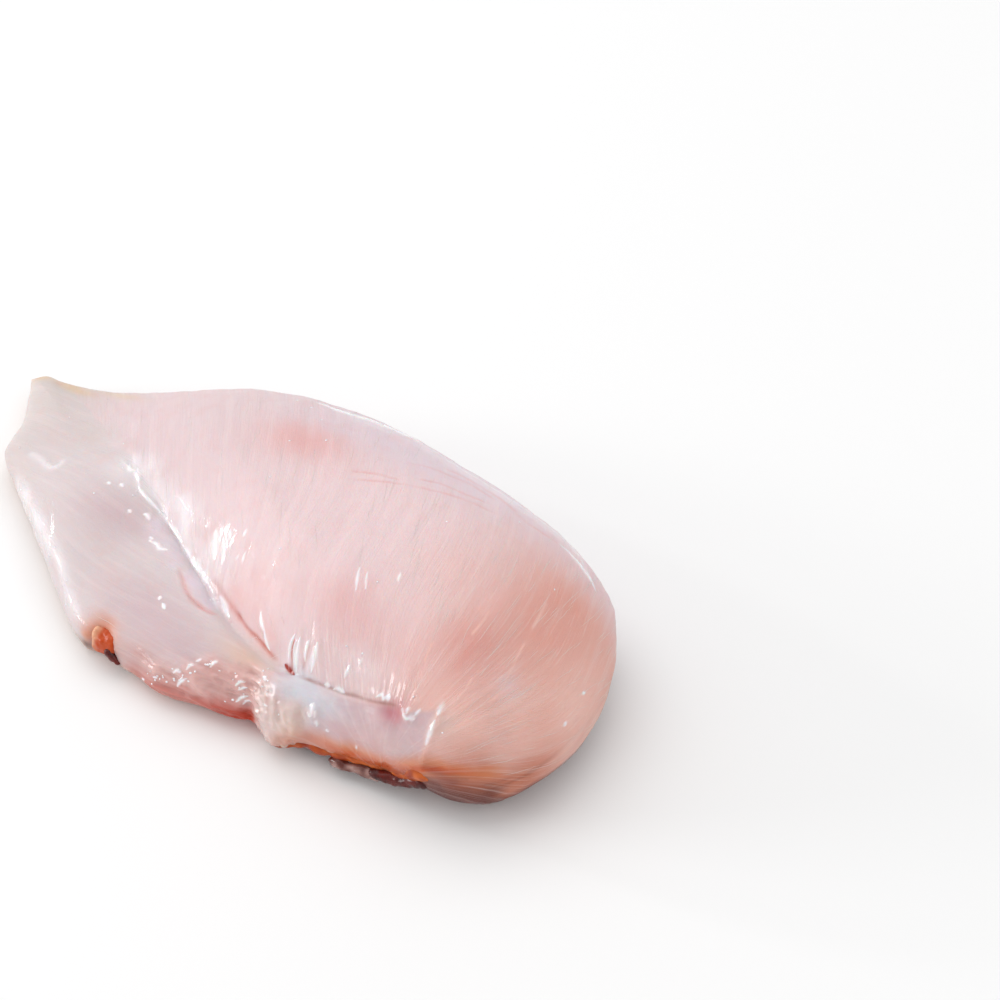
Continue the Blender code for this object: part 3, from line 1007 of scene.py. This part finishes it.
# Painted shade low on the blunt end, darker towards the table.
paint(SHADE_AND_FIBRE_BROWN, smooth(x, 70, 80) * (1 - smooth(z, 6, 11)) * 0.85)
paint(FAT_ORANGE, orange_band * fat_side * (1 - smooth(x, 80, 90)))
paint(WRINKLE_DEEP, spot(front, (78.5, 15.3), (4.5, 2.2)) * near_side * 0.55)
paint(WRINKLE_DEEP, spot(front, (70.6, 9.6), (2.2, 1.4)) * near_side * 0.75)
paint(FAT_ORANGE, spot(front, (67.0, 11.2), (4.0, 2.4)) * near_side * 0.55)
paint(FAT_ORANGE, spot(front, (73.4, 11.6), (2.4, 1.8)) * near_side * 0.35)
# Painted shade on the near side of the blunt end.
paint(END_SHADE_TAN, spot(front, (86.5, 20.4), (7.5, 4.2)) * near_side * 0.42)
# Curved dark fibre lines on the blunt end, in the same brown.
arcs = grain(np.column_stack([x / 10, (z - 0.25 * (x - 84)) / 0.8, 0 * x]), 15)
paint(SHADE_AND_FIBRE_BROWN, smooth(arcs, 0.15, 0.6) * blunt_end * 0.3)
# Fat colours in the notch, and painted shade (the dark spots) in its gap and under the lip's lower edge.
for colour, centre, reach, begins, ends, share in (
    (FAT_PEACH, (-12.6, 9.0), (4.6, 3.0), 38, 41, 0.8),
    (FAT_ORANGE, (-11.4, 7.6), (3.4, 2.8), 39, 41, 0.8),
    (NOTCH_SHADE_DARK, (-8.2, 3.6), (2.4, 3.0), 40, 42, 0.9),
    (FAT_PEACH, (-16.4, 6.6), (2.4, 2.4), 40, 42, 0.6),
    (NOTCH_SHADE_DARK, (-17.2, 3.2), (2.6, 1.5), 40, 42, 0.7),
):
    paint(colour, spot(front, centre, reach) * smooth(-y, begins, ends) * share)
paint(BORDER_BROWN, stroke(plan, SHEATH_BORDER[:8], 0.3) * 0.6)
paint(SLOT_RED, thread_mark(plan, SLOT_FOOT, 0.45) * 1.4)
# Painted highlights and pale threads of the near side, laid on near-white again over the sheath and fat.
paint(THREAD_AND_GLINT_WHITE, pale_and_glint_marks * near_side)
give(flesh.data, "tint", tint)
give(flesh.data, "lobe_fibre", lobe_fibre)
give(flesh.data, "flap_fibre", flap_fibre)
give(flesh.data, "flap", flap)

# How wet the skin is: only these places carry juice that glints.
streaks = smooth(grown_along(fibre_along, fibre_across, 12, 1.2, 23), -0.25, 0.35)
patches = spot(plan, (3.2, -17.6), (5.0, 3.0)) + 0.8 * spot(plan, (29.0, -5.0), (7.0, 5.0))
patches += 0.08 * spot(plan, (18.0, -21.0), (7.0, 4.0)) + 0.25 * spot(plan, (-36.0, -4.0), (7.0, 5.0))
wet = 0.03 + np.clip(patches * 1.6, 0, 1) * streaks + pale_and_glint_marks
wet += 0.4 * stroke(plan, FILM_EDGE, 1.0) + 0.7 * stroke(plan, CLEFT_RIDGE, 0.9)
wet += stroke(plan, FLAP_LIP, 1.5) + 0.8 * wrinkled + 0.3 * torn + 0.6 * above_border
wet += 0.8 * sheath * smooth(swells(3.5, 3, 3, 24), -0.5, 0.4)
wet += spot(front, (69.6, 24.2), (1.9, 1.8)) * near_side
wet += spot(plan, (-57.5, -14.0), (4.0, 2.6)) + spot(plan, (-14.2, -21.1), (3.0, 1.2))
wet += 0.5 * stroke(front, SHEATH_END, 1.4) * near_side
give(flesh.data, "wet", np.clip(wet, 0, 1) * (1 - 0.9 * low_rim))
clear_fibres = 0.45 + 0.55 * smooth(x + 8 * cloud, 30, 85)
clear_fibres += 2.0 * beside_cleft + 0.8 * above_border
clear_fibres *= (1 - 0.85 * sheath) * (1 - 0.6 * wrinkled) * (1 - 0.3 * film)
give(flesh.data, "fibre_show", clear_fibres)

# How the noise of the fibres is scaled along them, and along and across their bundles.
THREAD_STRETCH = 0.07
BUNDLE_STRETCH = (0.035, 0.42, 1)


def group_with(name, kind, inputs, outputs):
    """New node group, its given sockets and its result sockets, from (name, kind) rows."""
    group = bpy.data.node_groups.new(name, kind)
    for way, rows in (("INPUT", inputs), ("OUTPUT", outputs)):
        for label, socket in rows:
            group.interface.new_socket(label, in_out=way, socket_type="NodeSocket" + socket)
    return group, group.nodes.new("NodeGroupInput").outputs, group.nodes.new("NodeGroupOutput")


def noise(tree, place, scale, detail, roughness):
    inputs = {"Vector": place, "Scale": scale, "Detail": detail, "Roughness": roughness}
    return node(tree, "TexNoise", inputs)[0]


def fibre_group():
    """Muscle fibre pattern: thin pale threads and broad bundles that follow a given direction."""
    group, given, result = group_with(
        "muscle_fibre", "ShaderNodeTree",
        [("Along and across", "Vector"), ("Thread width", "Float")],
        [("Threads", "Float"), ("Bundles", "Float")])
    thin = node(group, "Math", {0: 1.0, 1: given["Thread width"]}, operation="DIVIDE")[0]
    stretch = node(group, "CombineXYZ", {"X": THREAD_STRETCH, "Y": thin})[0]
    threads = node(group, "VectorMath", {0: given[0], 1: stretch}, operation="MULTIPLY")[0]
    bundles = node(group, "VectorMath", {0: given[0], 1: BUNDLE_STRETCH}, operation="MULTIPLY")[0]
    fill(group, result, {
        "Threads": noise(group, threads, 1.0, 3.0, 0.6),
        "Bundles": noise(group, bundles, 1.0, 2.0, 0.5),
    })
    return group


def skin_group():
    """Pattern of a wet surface: soft clouding and fine pores."""
    group, given, result = group_with(
        "wet_skin", "ShaderNodeTree",
        [("Cloud size", "Float"), ("Pore size", "Float")],
        [("Clouds", "Float"), ("Pores", "Float")])
    here = node(group, "TexCoord")["Object"]
    fill(group, result, {
        "Clouds": noise(group, here, given["Cloud size"], 3.0, 0.6),
        "Pores": noise(group, here, given["Pore size"], 2.0, 0.5),
    })
    return group


def grouped(tree, group, inputs):
    """Outputs of a node group placed in a material with these inputs."""
    return node(tree, "Group", inputs, node_tree=group)


def mixed(tree, share, under, over):
    """Colour laid over another by a share, each a socket or a value."""
    return node(tree, "Mix", {0: share, 6: under, 7: over}, data_type="RGBA")[2]


def worked_out(tree, first, second, operation="MULTIPLY"):
    return node(tree, "Math", {0: first, 1: second}, operation=operation)[0]


def between(tree, value, low, high, to_low=0.0, to_high=1.0):
    """A value carried smoothly from one range to another."""
    inputs = {"Value": value, "From Min": low, "From Max": high, "To Min": to_low, "To Max": to_high}
    return node(tree, "MapRange", inputs, interpolation_type="SMOOTHSTEP")[0]


def painted_with(tree, name, output="Fac"):
    """What a point of the mesh was given under this name."""
    return node(tree, "Attribute", attribute_name=name)[output]


muscle_fibre = fibre_group()
wet_skin = skin_group()
wet_flesh, tree, shader = finish_of("wet_flesh", {
    "IOR": 1.42,
    "Specular IOR Level": 0.35,
    "Subsurface Weight": 0.4,
    "Subsurface Radius": (1.0, 0.38, 0.24),
    "Subsurface Scale": 0.0022,
    "Coat Roughness": 0.06,
    "Coat IOR": 1.5,
})
fibre_show = painted_with(tree, "fibre_show")
wetness = painted_with(tree, "wet")
flap_share = painted_with(tree, "flap")
patterns = []
for name in ("lobe_fibre", "flap_fibre"):
    direction = painted_with(tree, name, "Vector")
    patterns.append(grouped(tree, muscle_fibre, {"Along and across": direction, "Thread width": 0.36}))
on_lobe, on_flap = patterns
threads = node(tree, "Mix", {0: flap_share, 2: on_lobe["Threads"], 3: on_flap["Threads"]})[0]
bundles = node(tree, "Mix", {0: flap_share, 2: on_lobe["Bundles"], 3: on_flap["Bundles"]})[0]
skin = grouped(tree, wet_skin, {"Cloud size": 160.0, "Pore size": 1300.0})
pale_thread = worked_out(tree, between(tree, threads, 0.54, 0.68), fibre_show)
dark_gap = between(tree, threads, 0.48, 0.34)
colour = painted_with(tree, "tint", "Vector")
for share, over in (
    (worked_out(tree, pale_thread, 0.26), (0.86, 0.74, 0.70, 1)),
    (worked_out(tree, dark_gap, 0.05), (0.62, 0.32, 0.28, 1)),
    (between(tree, skin["Clouds"], 0.5, 0.7, 0.0, 0.12), (0.70, 0.38, 0.35, 1)),
    (between(tree, bundles, 0.5, 0.68, 0.0, 0.12), (0.86, 0.74, 0.72, 1)),
):
    colour = mixed(tree, share, colour, over)
fibre_rise = worked_out(tree, threads, worked_out(tree, fibre_show, 1.0, "MINIMUM"))
height = worked_out(tree, fibre_rise, worked_out(tree, skin["Pores"], 0.3), "ADD")
bump = node(tree, "Bump", {"Height": height, "Strength": 0.6, "Distance": 0.0004})
dry_dullness = between(tree, wetness, 0.0, 1.0, 0.26, 0.0)
clouded_dullness = between(tree, skin["Clouds"], 0.35, 0.65, 0.16, 0.3)
fill(tree, shader, {
    "Base Color": colour,
    "Normal": bump["Normal"],
    "Coat Weight": wetness,
    "Roughness": worked_out(tree, dry_dullness, clouded_dullness, "ADD"),
})
flesh.data.materials.append(wet_flesh)
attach(flesh, "root")
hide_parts("breast")


# The orange fat.
# Soft waxy fat that the knife left: a small knob in the notch of the flap and a thin seam
# under the sheath. Each is fused from a row of balls laid on the skin, then smoothed.
LUMP_GRAIN = 0.00042
LUMP_SMOOTHING = 5
FAT_PATH = [
    (36.2, -40.3, 2.4),
    (40.4, -40.2, 2.8),
    (43.6, -39.2, 4.6),
    (46.1, -38.3, 4.8),
    (51.4, -36.9, 4.4),
    (57.1, -36.0, 5.4),
    (63.6, -33.9, 5.0),
    (69.5, -33.4, 7.4),
    (73.4, -33.3, 11.4),
]
NOTCH_COLUMNS = (-14.1, -12.8, -11.5, -10.2, -8.9)
NOTCH_DROP = [(-42.8, 8.4), (-43.6, 7.2), (-43.9, 5.8), (-43.8, 4.6)]


def lump(name, balls, swell, seed, deepens=None):
    """Closed soft lump fused from (x, y, z, radius, length) balls, drawn out along X.

    Its colour deepens between two places along X, or else in random clouds.
    """
    work = bmesh.new()
    for bx, by, bz, radius, length in balls:
        made = bmesh.ops.create_icosphere(work, subdivisions=3, radius=1)
        bmesh.ops.scale(work, verts=made["verts"], vec=Vector((radius * length, radius, radius)) * MM)
        bmesh.ops.translate(work, verts=made["verts"], vec=Vector((bx, by, bz)) * MM)
    mesh = bpy.data.meshes.new(name + "_balls")
    work.to_mesh(mesh)
    work.free()
    made = bpy.data.objects.new(name, mesh)
    bpy.context.collection.objects.link(made)
    fuse = made.modifiers.new("fuse", "REMESH")
    fuse.mode = "VOXEL"
    fuse.voxel_size = LUMP_GRAIN
    soften = made.modifiers.new("soften", "SMOOTH")
    soften.factor = 0.6
    soften.iterations = LUMP_SMOOTHING
    shown = made.evaluated_get(bpy.context.evaluated_depsgraph_get())
    fused = bpy.data.meshes.new_from_object(shown)
    fused.name = name
    made.modifiers.clear()
    made.data = fused
    places, normals = shape_points(fused)
    px, py, pz = places.T
    raised = swell * grain(np.column_stack([px / 2.4, py / 1.6, pz / 1.6]), seed)
    raised += 0.4 * swell * grain(np.column_stack([px / 0.9, py / 0.8, pz / 0.8]), seed + 1)
    places = places + normals * raised[:, None]
    places[:, 2] = np.maximum(places[:, 2], 0)
    clouds = grain(places / 1.6, seed + 2)
    give(fused, "deep", smooth(px + 0.6 * clouds, *deepens) if deepens else smooth(clouds, -0.7, 0.7))
    fused.vertices.foreach_set("co", (places * MM).ravel())
    fused.shade_smooth()
    return made


def row_of_balls(path, count, radius, depth, seed, length):
    """Balls of uneven size along a path on the skin, sunk in it by a depth."""
    balls = []
    for k, guide in enumerate(along(through(path, 12), np.linspace(0, 1, count))):
        place, normal, _, _ = flesh_skin.find_nearest(Vector(guide) * MM)
        size = radius * (1 + 0.35 * grain(np.array([[k * 0.9, seed, 0]]), seed)[0])
        balls.append((*(np.array(place) / MM - np.array(normal) * depth), size, length))
    return balls


def waxy(name, pale, deep, roughness, sheen_of_wet):
    """Soft clouded finish between two colours."""
    material, tree, shader = finish_of(name, {
        "IOR": 1.45,
        "Specular IOR Level": 0.3,
        "Subsurface Weight": 0.15,
        "Subsurface Radius": (1.0, 0.4, 0.2),
        "Subsurface Scale": 0.001,
        "Coat Weight": sheen_of_wet,
        "Coat Roughness": 0.08,
    })
    skin = grouped(tree, wet_skin, {"Cloud size": 380.0, "Pore size": 1500.0})
    colour = mixed(tree, painted_with(tree, "deep"), (*pale, 1), (*deep, 1))
    colour = mixed(tree, between(tree, skin["Clouds"], 0.4, 0.65, 0.0, 0.4), colour, (*deep, 1))
    rise = node(tree, "Bump", {"Height": skin["Clouds"], "Strength": 0.5, "Distance": 0.0004})
    fill(tree, shader, {
        "Base Color": colour,
        "Roughness": between(tree, skin["Pores"], 0.3, 0.7, roughness - 0.08, roughness + 0.1),
        "Normal": rise["Normal"],
    })
    return material


def put(piece, material):
    """Gives a small piece its finish and lets it ride on the flesh."""
    piece.data.materials.clear()
    piece.data.materials.append(material)
    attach(piece, "root")


work = bmesh.new()
work.from_mesh(flesh.data)
flesh_skin = BVHTree.FromBMesh(work)
work.free()
notch_balls = [(bx, by, bz, 1.35, 0.85) for bx in NOTCH_COLUMNS for by, bz in NOTCH_DROP]
notch_finish = waxy("notch_orange", srgb(238, 182, 146), srgb(196, 70, 0), 0.42, 0.2)
put(lump("notch_fat", notch_balls, 0.4, 31, (-15.0, -12.4)), notch_finish)
fat_finish = waxy("fat_orange", srgb(216, 108, 40), srgb(160, 52, 10), 0.4, 0.25)
put(lump("edge_fat", row_of_balls(FAT_PATH, 33, 1.1, 0.7, 32, 2.2), 0.2, 33), fat_finish)


# The ragged tissue.
# A pale torn tag of film and fat where the sheath ends, hanging to the table. It is fused
# from a few balls that overlap the flesh.
RAGGED = [
    (31.8, -37.2, 9.4, 1.7, 1.3),
    (34.6, -38.4, 7.6, 1.9, 1.4),
    (37.4, -39.6, 5.4, 1.7, 1.3),
    (39.6, -39.8, 4.8, 1.5, 1.4),
    (36.2, -39.8, 4.6, 1.2, 1.3),
]
ragged_finish = waxy("ragged_pale", srgb(236, 216, 206), srgb(222, 176, 150), 0.26, 0.8)
put(lump("ragged_tissue", RAGGED, 0.4, 35), ragged_finish)


# The clots.
# Dark dried blood and brownish film: a tan strip and a maroon strip under the fat seam, and a dark
# speck in the notch that stands for the shade of its gap. They are drawn-out balls fused along a path.
CLOT_BALLS = np.linspace(0, 1, 7)
TAN_CLOT_PATH = [(52.0, -36.7, 3.4), (55.0, -36.1, 3.7), (58.4, -35.2, 3.9), (62.0, -34.2, 4.0)]
DARK_CLOT_PATH = [(62.6, -34.6, 5.0), (66.0, -33.8, 5.0), (69.6, -33.3, 6.0), (73.2, -32.6, 8.0)]
NOTCH_SHADE_LUMP = [(-9.4, -44.8, 5.8, 1.2, 1.0), (-8.0, -45.0, 5.2, 1.2, 1.0), (-6.6, -45.0, 4.4, 0.9, 1.1)]
clot_and_shade_finish = waxy("clot_and_shade_maroon", srgb(58, 6, 8), srgb(108, 26, 16), 0.32, 0.25)
tan_finish = waxy("clot_tan", srgb(186, 146, 138), srgb(104, 44, 34), 0.25, 0.6)
tan_balls = [(*place, 1.2, 1.7) for place in along(through(TAN_CLOT_PATH, 8), CLOT_BALLS)]
dark_balls = [(*place, 1.35, 1.7) for place in along(through(DARK_CLOT_PATH, 8), CLOT_BALLS)]
# A dark lump in the notch, standing where its gap lies in shade.
put(lump("notch_shade_lump", NOTCH_SHADE_LUMP, 0.2, 43), clot_and_shade_finish)
put(lump("tan_clot", tan_balls, 0.4, 37), tan_finish)
put(lump("dark_clot", dark_balls, 0.4, 39), clot_and_shade_finish)


# The loose threads.
# Fine pale ends of muscle fibre and film that lie on the wet skin along the grain; their near-white
# colour partly stands for painted highlights along the fibres. They are scattered over the flesh,
# drawn out along its fibres, laid on it and given a round section.
THREADS_PER_AREA = 45000.0
THREAD_LENGTH = 0.011
THREAD_RADIUS = 0.00005
THREAD_POINTS = 18
THREAD_SWAY = 0.0012
THREAD_SEED = 5

shoulder_pull = ((1 - fan_share) / SHOULDER_FAN_REACH)[:, None]
lobe_pull = (fan_share / LOBE_FAN_REACH)[:, None]
lobe_way = from_shoulder_fan * shoulder_pull + from_lobe_fan * lobe_pull
flap_way = np.array([math.cos(FLAP_FIBRE_TURN), math.sin(FLAP_FIBRE_TURN)])
way = lobe_way * (1 - flap[:, None]) + flap_way * flap[:, None]
way /= np.linalg.norm(way, axis=1)[:, None]
_, skin_out = shape_points(flesh.data)
level = np.linalg.norm(skin_out[:, :2], axis=1) + 1e-6
aside = skin_out[:, :2] / level[:, None]
outward_share = (way * aside).sum(axis=1)
down_slope = np.column_stack([aside * skin_out[:, 2:], -level])
way_on_skin = np.column_stack([way - aside * outward_share[:, None], 0 * x])
way_on_skin += down_slope * outward_share[:, None]
give(flesh.data, "fibre_way", way_on_skin)
over_sheath = smooth(-y, 14, 22) * smooth(x, 32, 38) * (1 - smooth(x, 76, 80))
thread_share = (0.25 + 0.75 * smooth(x, 20, 80)) * (1 - over_sheath) * (1 - 0.7 * flap)
thread_share *= smooth(z, 4, 9) * smooth(skin_out[:, 2], -0.1, 0.2)
give(flesh.data, "thread_share", thread_share)


def step(group, kind, inputs=(), **settings):
    """Outputs of a new geometry node with these settings and inputs."""
    made = group.nodes.new(kind)
    for name, value in settings.items():
        setattr(made, name, value)
    fill(group, made, inputs)
    return made.outputs


def named(group, name, kind):
    """What each point of the flesh was given under this name."""
    outputs = step(group, "GeometryNodeInputNamedAttribute", {"Name": name}, data_type=kind)
    return next(out for out in outputs if out.enabled and out.name == "Attribute")


def scattered(name, sizes):
    """Tree that scatters a shape over the flesh; sizes are its own named number inputs."""
    rows = [("Geometry", "Geometry"), ("Per area", "Float"), *((size, "Float") for size in sizes),
            ("Seed", "Int"), ("Finish", "Material")]
    return group_with(name, "GeometryNodeTree", rows, [("Geometry", "Geometry")])


def dots_by(group, given, share):
    """Random points on the flesh, as dense as the share that its points were given."""
    density = step(group, "ShaderNodeMath", {0: given["Per area"], 1: named(group, share, "FLOAT")},
                   operation="MULTIPLY")[0]
    return step(group, "GeometryNodeDistributePointsOnFaces", {
        "Mesh": given["Geometry"], "Seed": given["Seed"], "Density": density})


def finished(group, given, result, mesh):
    """Ends a tree: what it made as plain mesh in its finish."""
    whole = step(group, "GeometryNodeRealizeInstances", {"Geometry": mesh})[0]
    clad = step(group, "GeometryNodeSetMaterial", {"Geometry": whole, "Material": given["Finish"]})[0]
    fill(group, result, {"Geometry": clad})


def grown(name, group, values):
    """Plain mesh object that a geometry node tree makes from the flesh."""
    carrier = bpy.data.objects.new(name, flesh.data.copy())
    bpy.context.collection.objects.link(carrier)
    modifier = carrier.modifiers.new("grow", "NODES")
    modifier.node_group = group
    for item in group.interface.items_tree:
        if item.in_out == "INPUT" and item.name in values:
            modifier[item.identifier] = values[item.name]
    shown = carrier.evaluated_get(bpy.context.evaluated_depsgraph_get())
    mesh = bpy.data.meshes.new_from_object(shown)
    carrier.modifiers.clear()
    mesh.name = name
    carrier.data = mesh
    mesh.shade_smooth()
    return carrier


thread_finish, tree, shader = finish_of("thread_pale", {
    "IOR": 1.42,
    "Subsurface Weight": 0.2,
    "Subsurface Scale": 0.0005,
    "Coat Weight": 0.4,
    "Coat Roughness": 0.1,
})
skin = grouped(tree, wet_skin, {"Cloud size": 300.0, "Pore size": 2500.0})
fill(tree, shader, {
    "Base Color": mixed(tree, skin["Clouds"], (*srgb(250, 234, 230), 1), (*srgb(242, 216, 208), 1)),
    "Roughness": between(tree, skin["Pores"], 0.3, 0.7, 0.25, 0.4),
})

group, given, result = scattered("thread_scatter", ("Length", "Radius"))
dots = dots_by(group, given, "thread_share")
fibre_way = named(group, "fibre_way", "FLOAT_VECTOR")
turn = step(group, "FunctionNodeAlignRotationToVector", {"Vector": fibre_way}, axis="X")["Rotation"]
size = step(group, "FunctionNodeRandomValue", {"Min": (0.35, 1, 1), "Max": (1.3, 1, 1)},
            data_type="FLOAT_VECTOR")[0]
tip = step(group, "ShaderNodeCombineXYZ", {"X": given["Length"]})[0]
line = step(group, "GeometryNodeCurvePrimitiveLine", {"End": tip})[0]
line = step(group, "GeometryNodeResampleCurve", {"Curve": line, "Count": THREAD_POINTS})[0]
laid = step(group, "GeometryNodeInstanceOnPoints", {
    "Points": dots["Points"], "Instance": line, "Rotation": turn, "Scale": size})[0]
laid = step(group, "GeometryNodeRealizeInstances", {"Geometry": laid})[0]
place = step(group, "GeometryNodeInputPosition")[0]
sway = step(group, "ShaderNodeTexNoise", {"Vector": place, "Scale": 140.0, "Detail": 1.0})["Color"]
sway = step(group, "ShaderNodeVectorMath", {0: sway, 1: (0.5, 0.5, 0.5)}, operation="SUBTRACT")[0]
sway = step(group, "ShaderNodeVectorMath", {0: sway, "Scale": THREAD_SWAY}, operation="SCALE")[0]
swayed = step(group, "GeometryNodeSetPosition", {"Geometry": laid, "Offset": sway})[0]
nearest = step(group, "GeometryNodeProximity", {"Geometry": given["Geometry"]}, target_element="FACES")
settled = step(group, "GeometryNodeSetPosition", {"Geometry": swayed, "Position": nearest["Position"]})[0]
part_way = step(group, "GeometryNodeSplineParameter")["Factor"]
half_turn = step(group, "ShaderNodeMath", {0: part_way, 1: math.pi}, operation="MULTIPLY")[0]
taper = step(group, "ShaderNodeMath", {0: half_turn}, operation="SINE")[0]
taper = step(group, "ShaderNodeMath", {0: taper, 1: given["Radius"]}, operation="MULTIPLY")[0]
ring = step(group, "GeometryNodeCurvePrimitiveCircle", {"Resolution": 5, "Radius": 1.0})[0]
tube = step(group, "GeometryNodeCurveToMesh", {
    "Curve": settled, "Profile Curve": ring, "Scale": taper, "Fill Caps": True})[0]
finished(group, given, result, tube)
threads_piece = grown("loose_threads", group, {
    "Per area": THREADS_PER_AREA, "Length": THREAD_LENGTH, "Radius": THREAD_RADIUS,
    "Seed": THREAD_SEED, "Finish": thread_finish})
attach(threads_piece, "root")


# The wet beads.
# Small flat drops of juice standing on the skin, thickest on the folds, along the cleft and
# on the flap's edge. They are half-sunk balls scattered over the flesh, opaque and near-white,
# so that each shows as a painted glint.
BEADS_PER_AREA = 800000.0
BEAD_SIZE = 0.00026
BEAD_SEED = 11
BEAD_CLUSTERS = [
    ((5.0, 7.2), (3.2, 1.6)),
    ((12.2, 10.6), (2.4, 1.8)),
    ((17.0, 13.8), (2.4, 0.8)),
    ((27.0, 14.0), (2.2, 1.4)),
    ((27.6, 10.0), (2.2, 1.2)),
    ((32.0, 16.6), (2.6, 1.0)),
    ((40.6, 15.0), (1.6, 1.6)),
]

bead_share = 0.002 + 0.02 * stroke(plan, CLEFT_RIDGE, 2.5)
bead_share += 0.03 * stroke(plan, FLAP_LIP, 1.5) + 0.02 * wrinkled
for centre, reach in BEAD_CLUSTERS:
    bead_share += 0.8 * spot(front, centre, reach) * near_side
give(flesh.data, "bead_share", bead_share * smooth(z, 3, 6) * smooth(skin_out[:, 2], 0, 0.3))
# Opaque near-white, so that the beads show as painted glints rather than clear drops.
juice_glint_finish, tree, shader = finish_of("juice_glint_white", {
    "IOR": 1.4,
    "Coat Weight": 1.0,
    "Coat Roughness": 0.03,
})
skin = grouped(tree, wet_skin, {"Cloud size": 900.0, "Pore size": 2500.0})
fill(tree, shader, {
    "Base Color": mixed(tree, skin["Clouds"], (*THREAD_AND_GLINT_WHITE, 1), (*PALE_FILM_AND_HIGHLIGHT, 1)),
    "Roughness": between(tree, skin["Pores"], 0.3, 0.7, 0.05, 0.12),
})

group, given, result = scattered("bead_scatter", ("Size",))
dots = dots_by(group, given, "bead_share")
ball = step(group, "GeometryNodeMeshIcoSphere", {"Radius": 1.0, "Subdivisions": 2})["Mesh"]
size = step(group, "FunctionNodeRandomValue", {"Min": (0.5, 0.5, 0.3), "Max": (1.5, 1.2, 0.7)},
            data_type="FLOAT_VECTOR")[0]
size = step(group, "ShaderNodeVectorMath", {0: size, "Scale": given["Size"]}, operation="SCALE")[0]
laid = step(group, "GeometryNodeInstanceOnPoints", {
    "Points": dots["Points"], "Instance": ball, "Rotation": dots["Rotation"], "Scale": size})[0]
finished(group, given, result, laid)
beads = grown("wet_glint_beads", group, {
    "Per area": BEADS_PER_AREA, "Size": BEAD_SIZE, "Seed": BEAD_SEED, "Finish": juice_glint_finish})
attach(beads, "root")
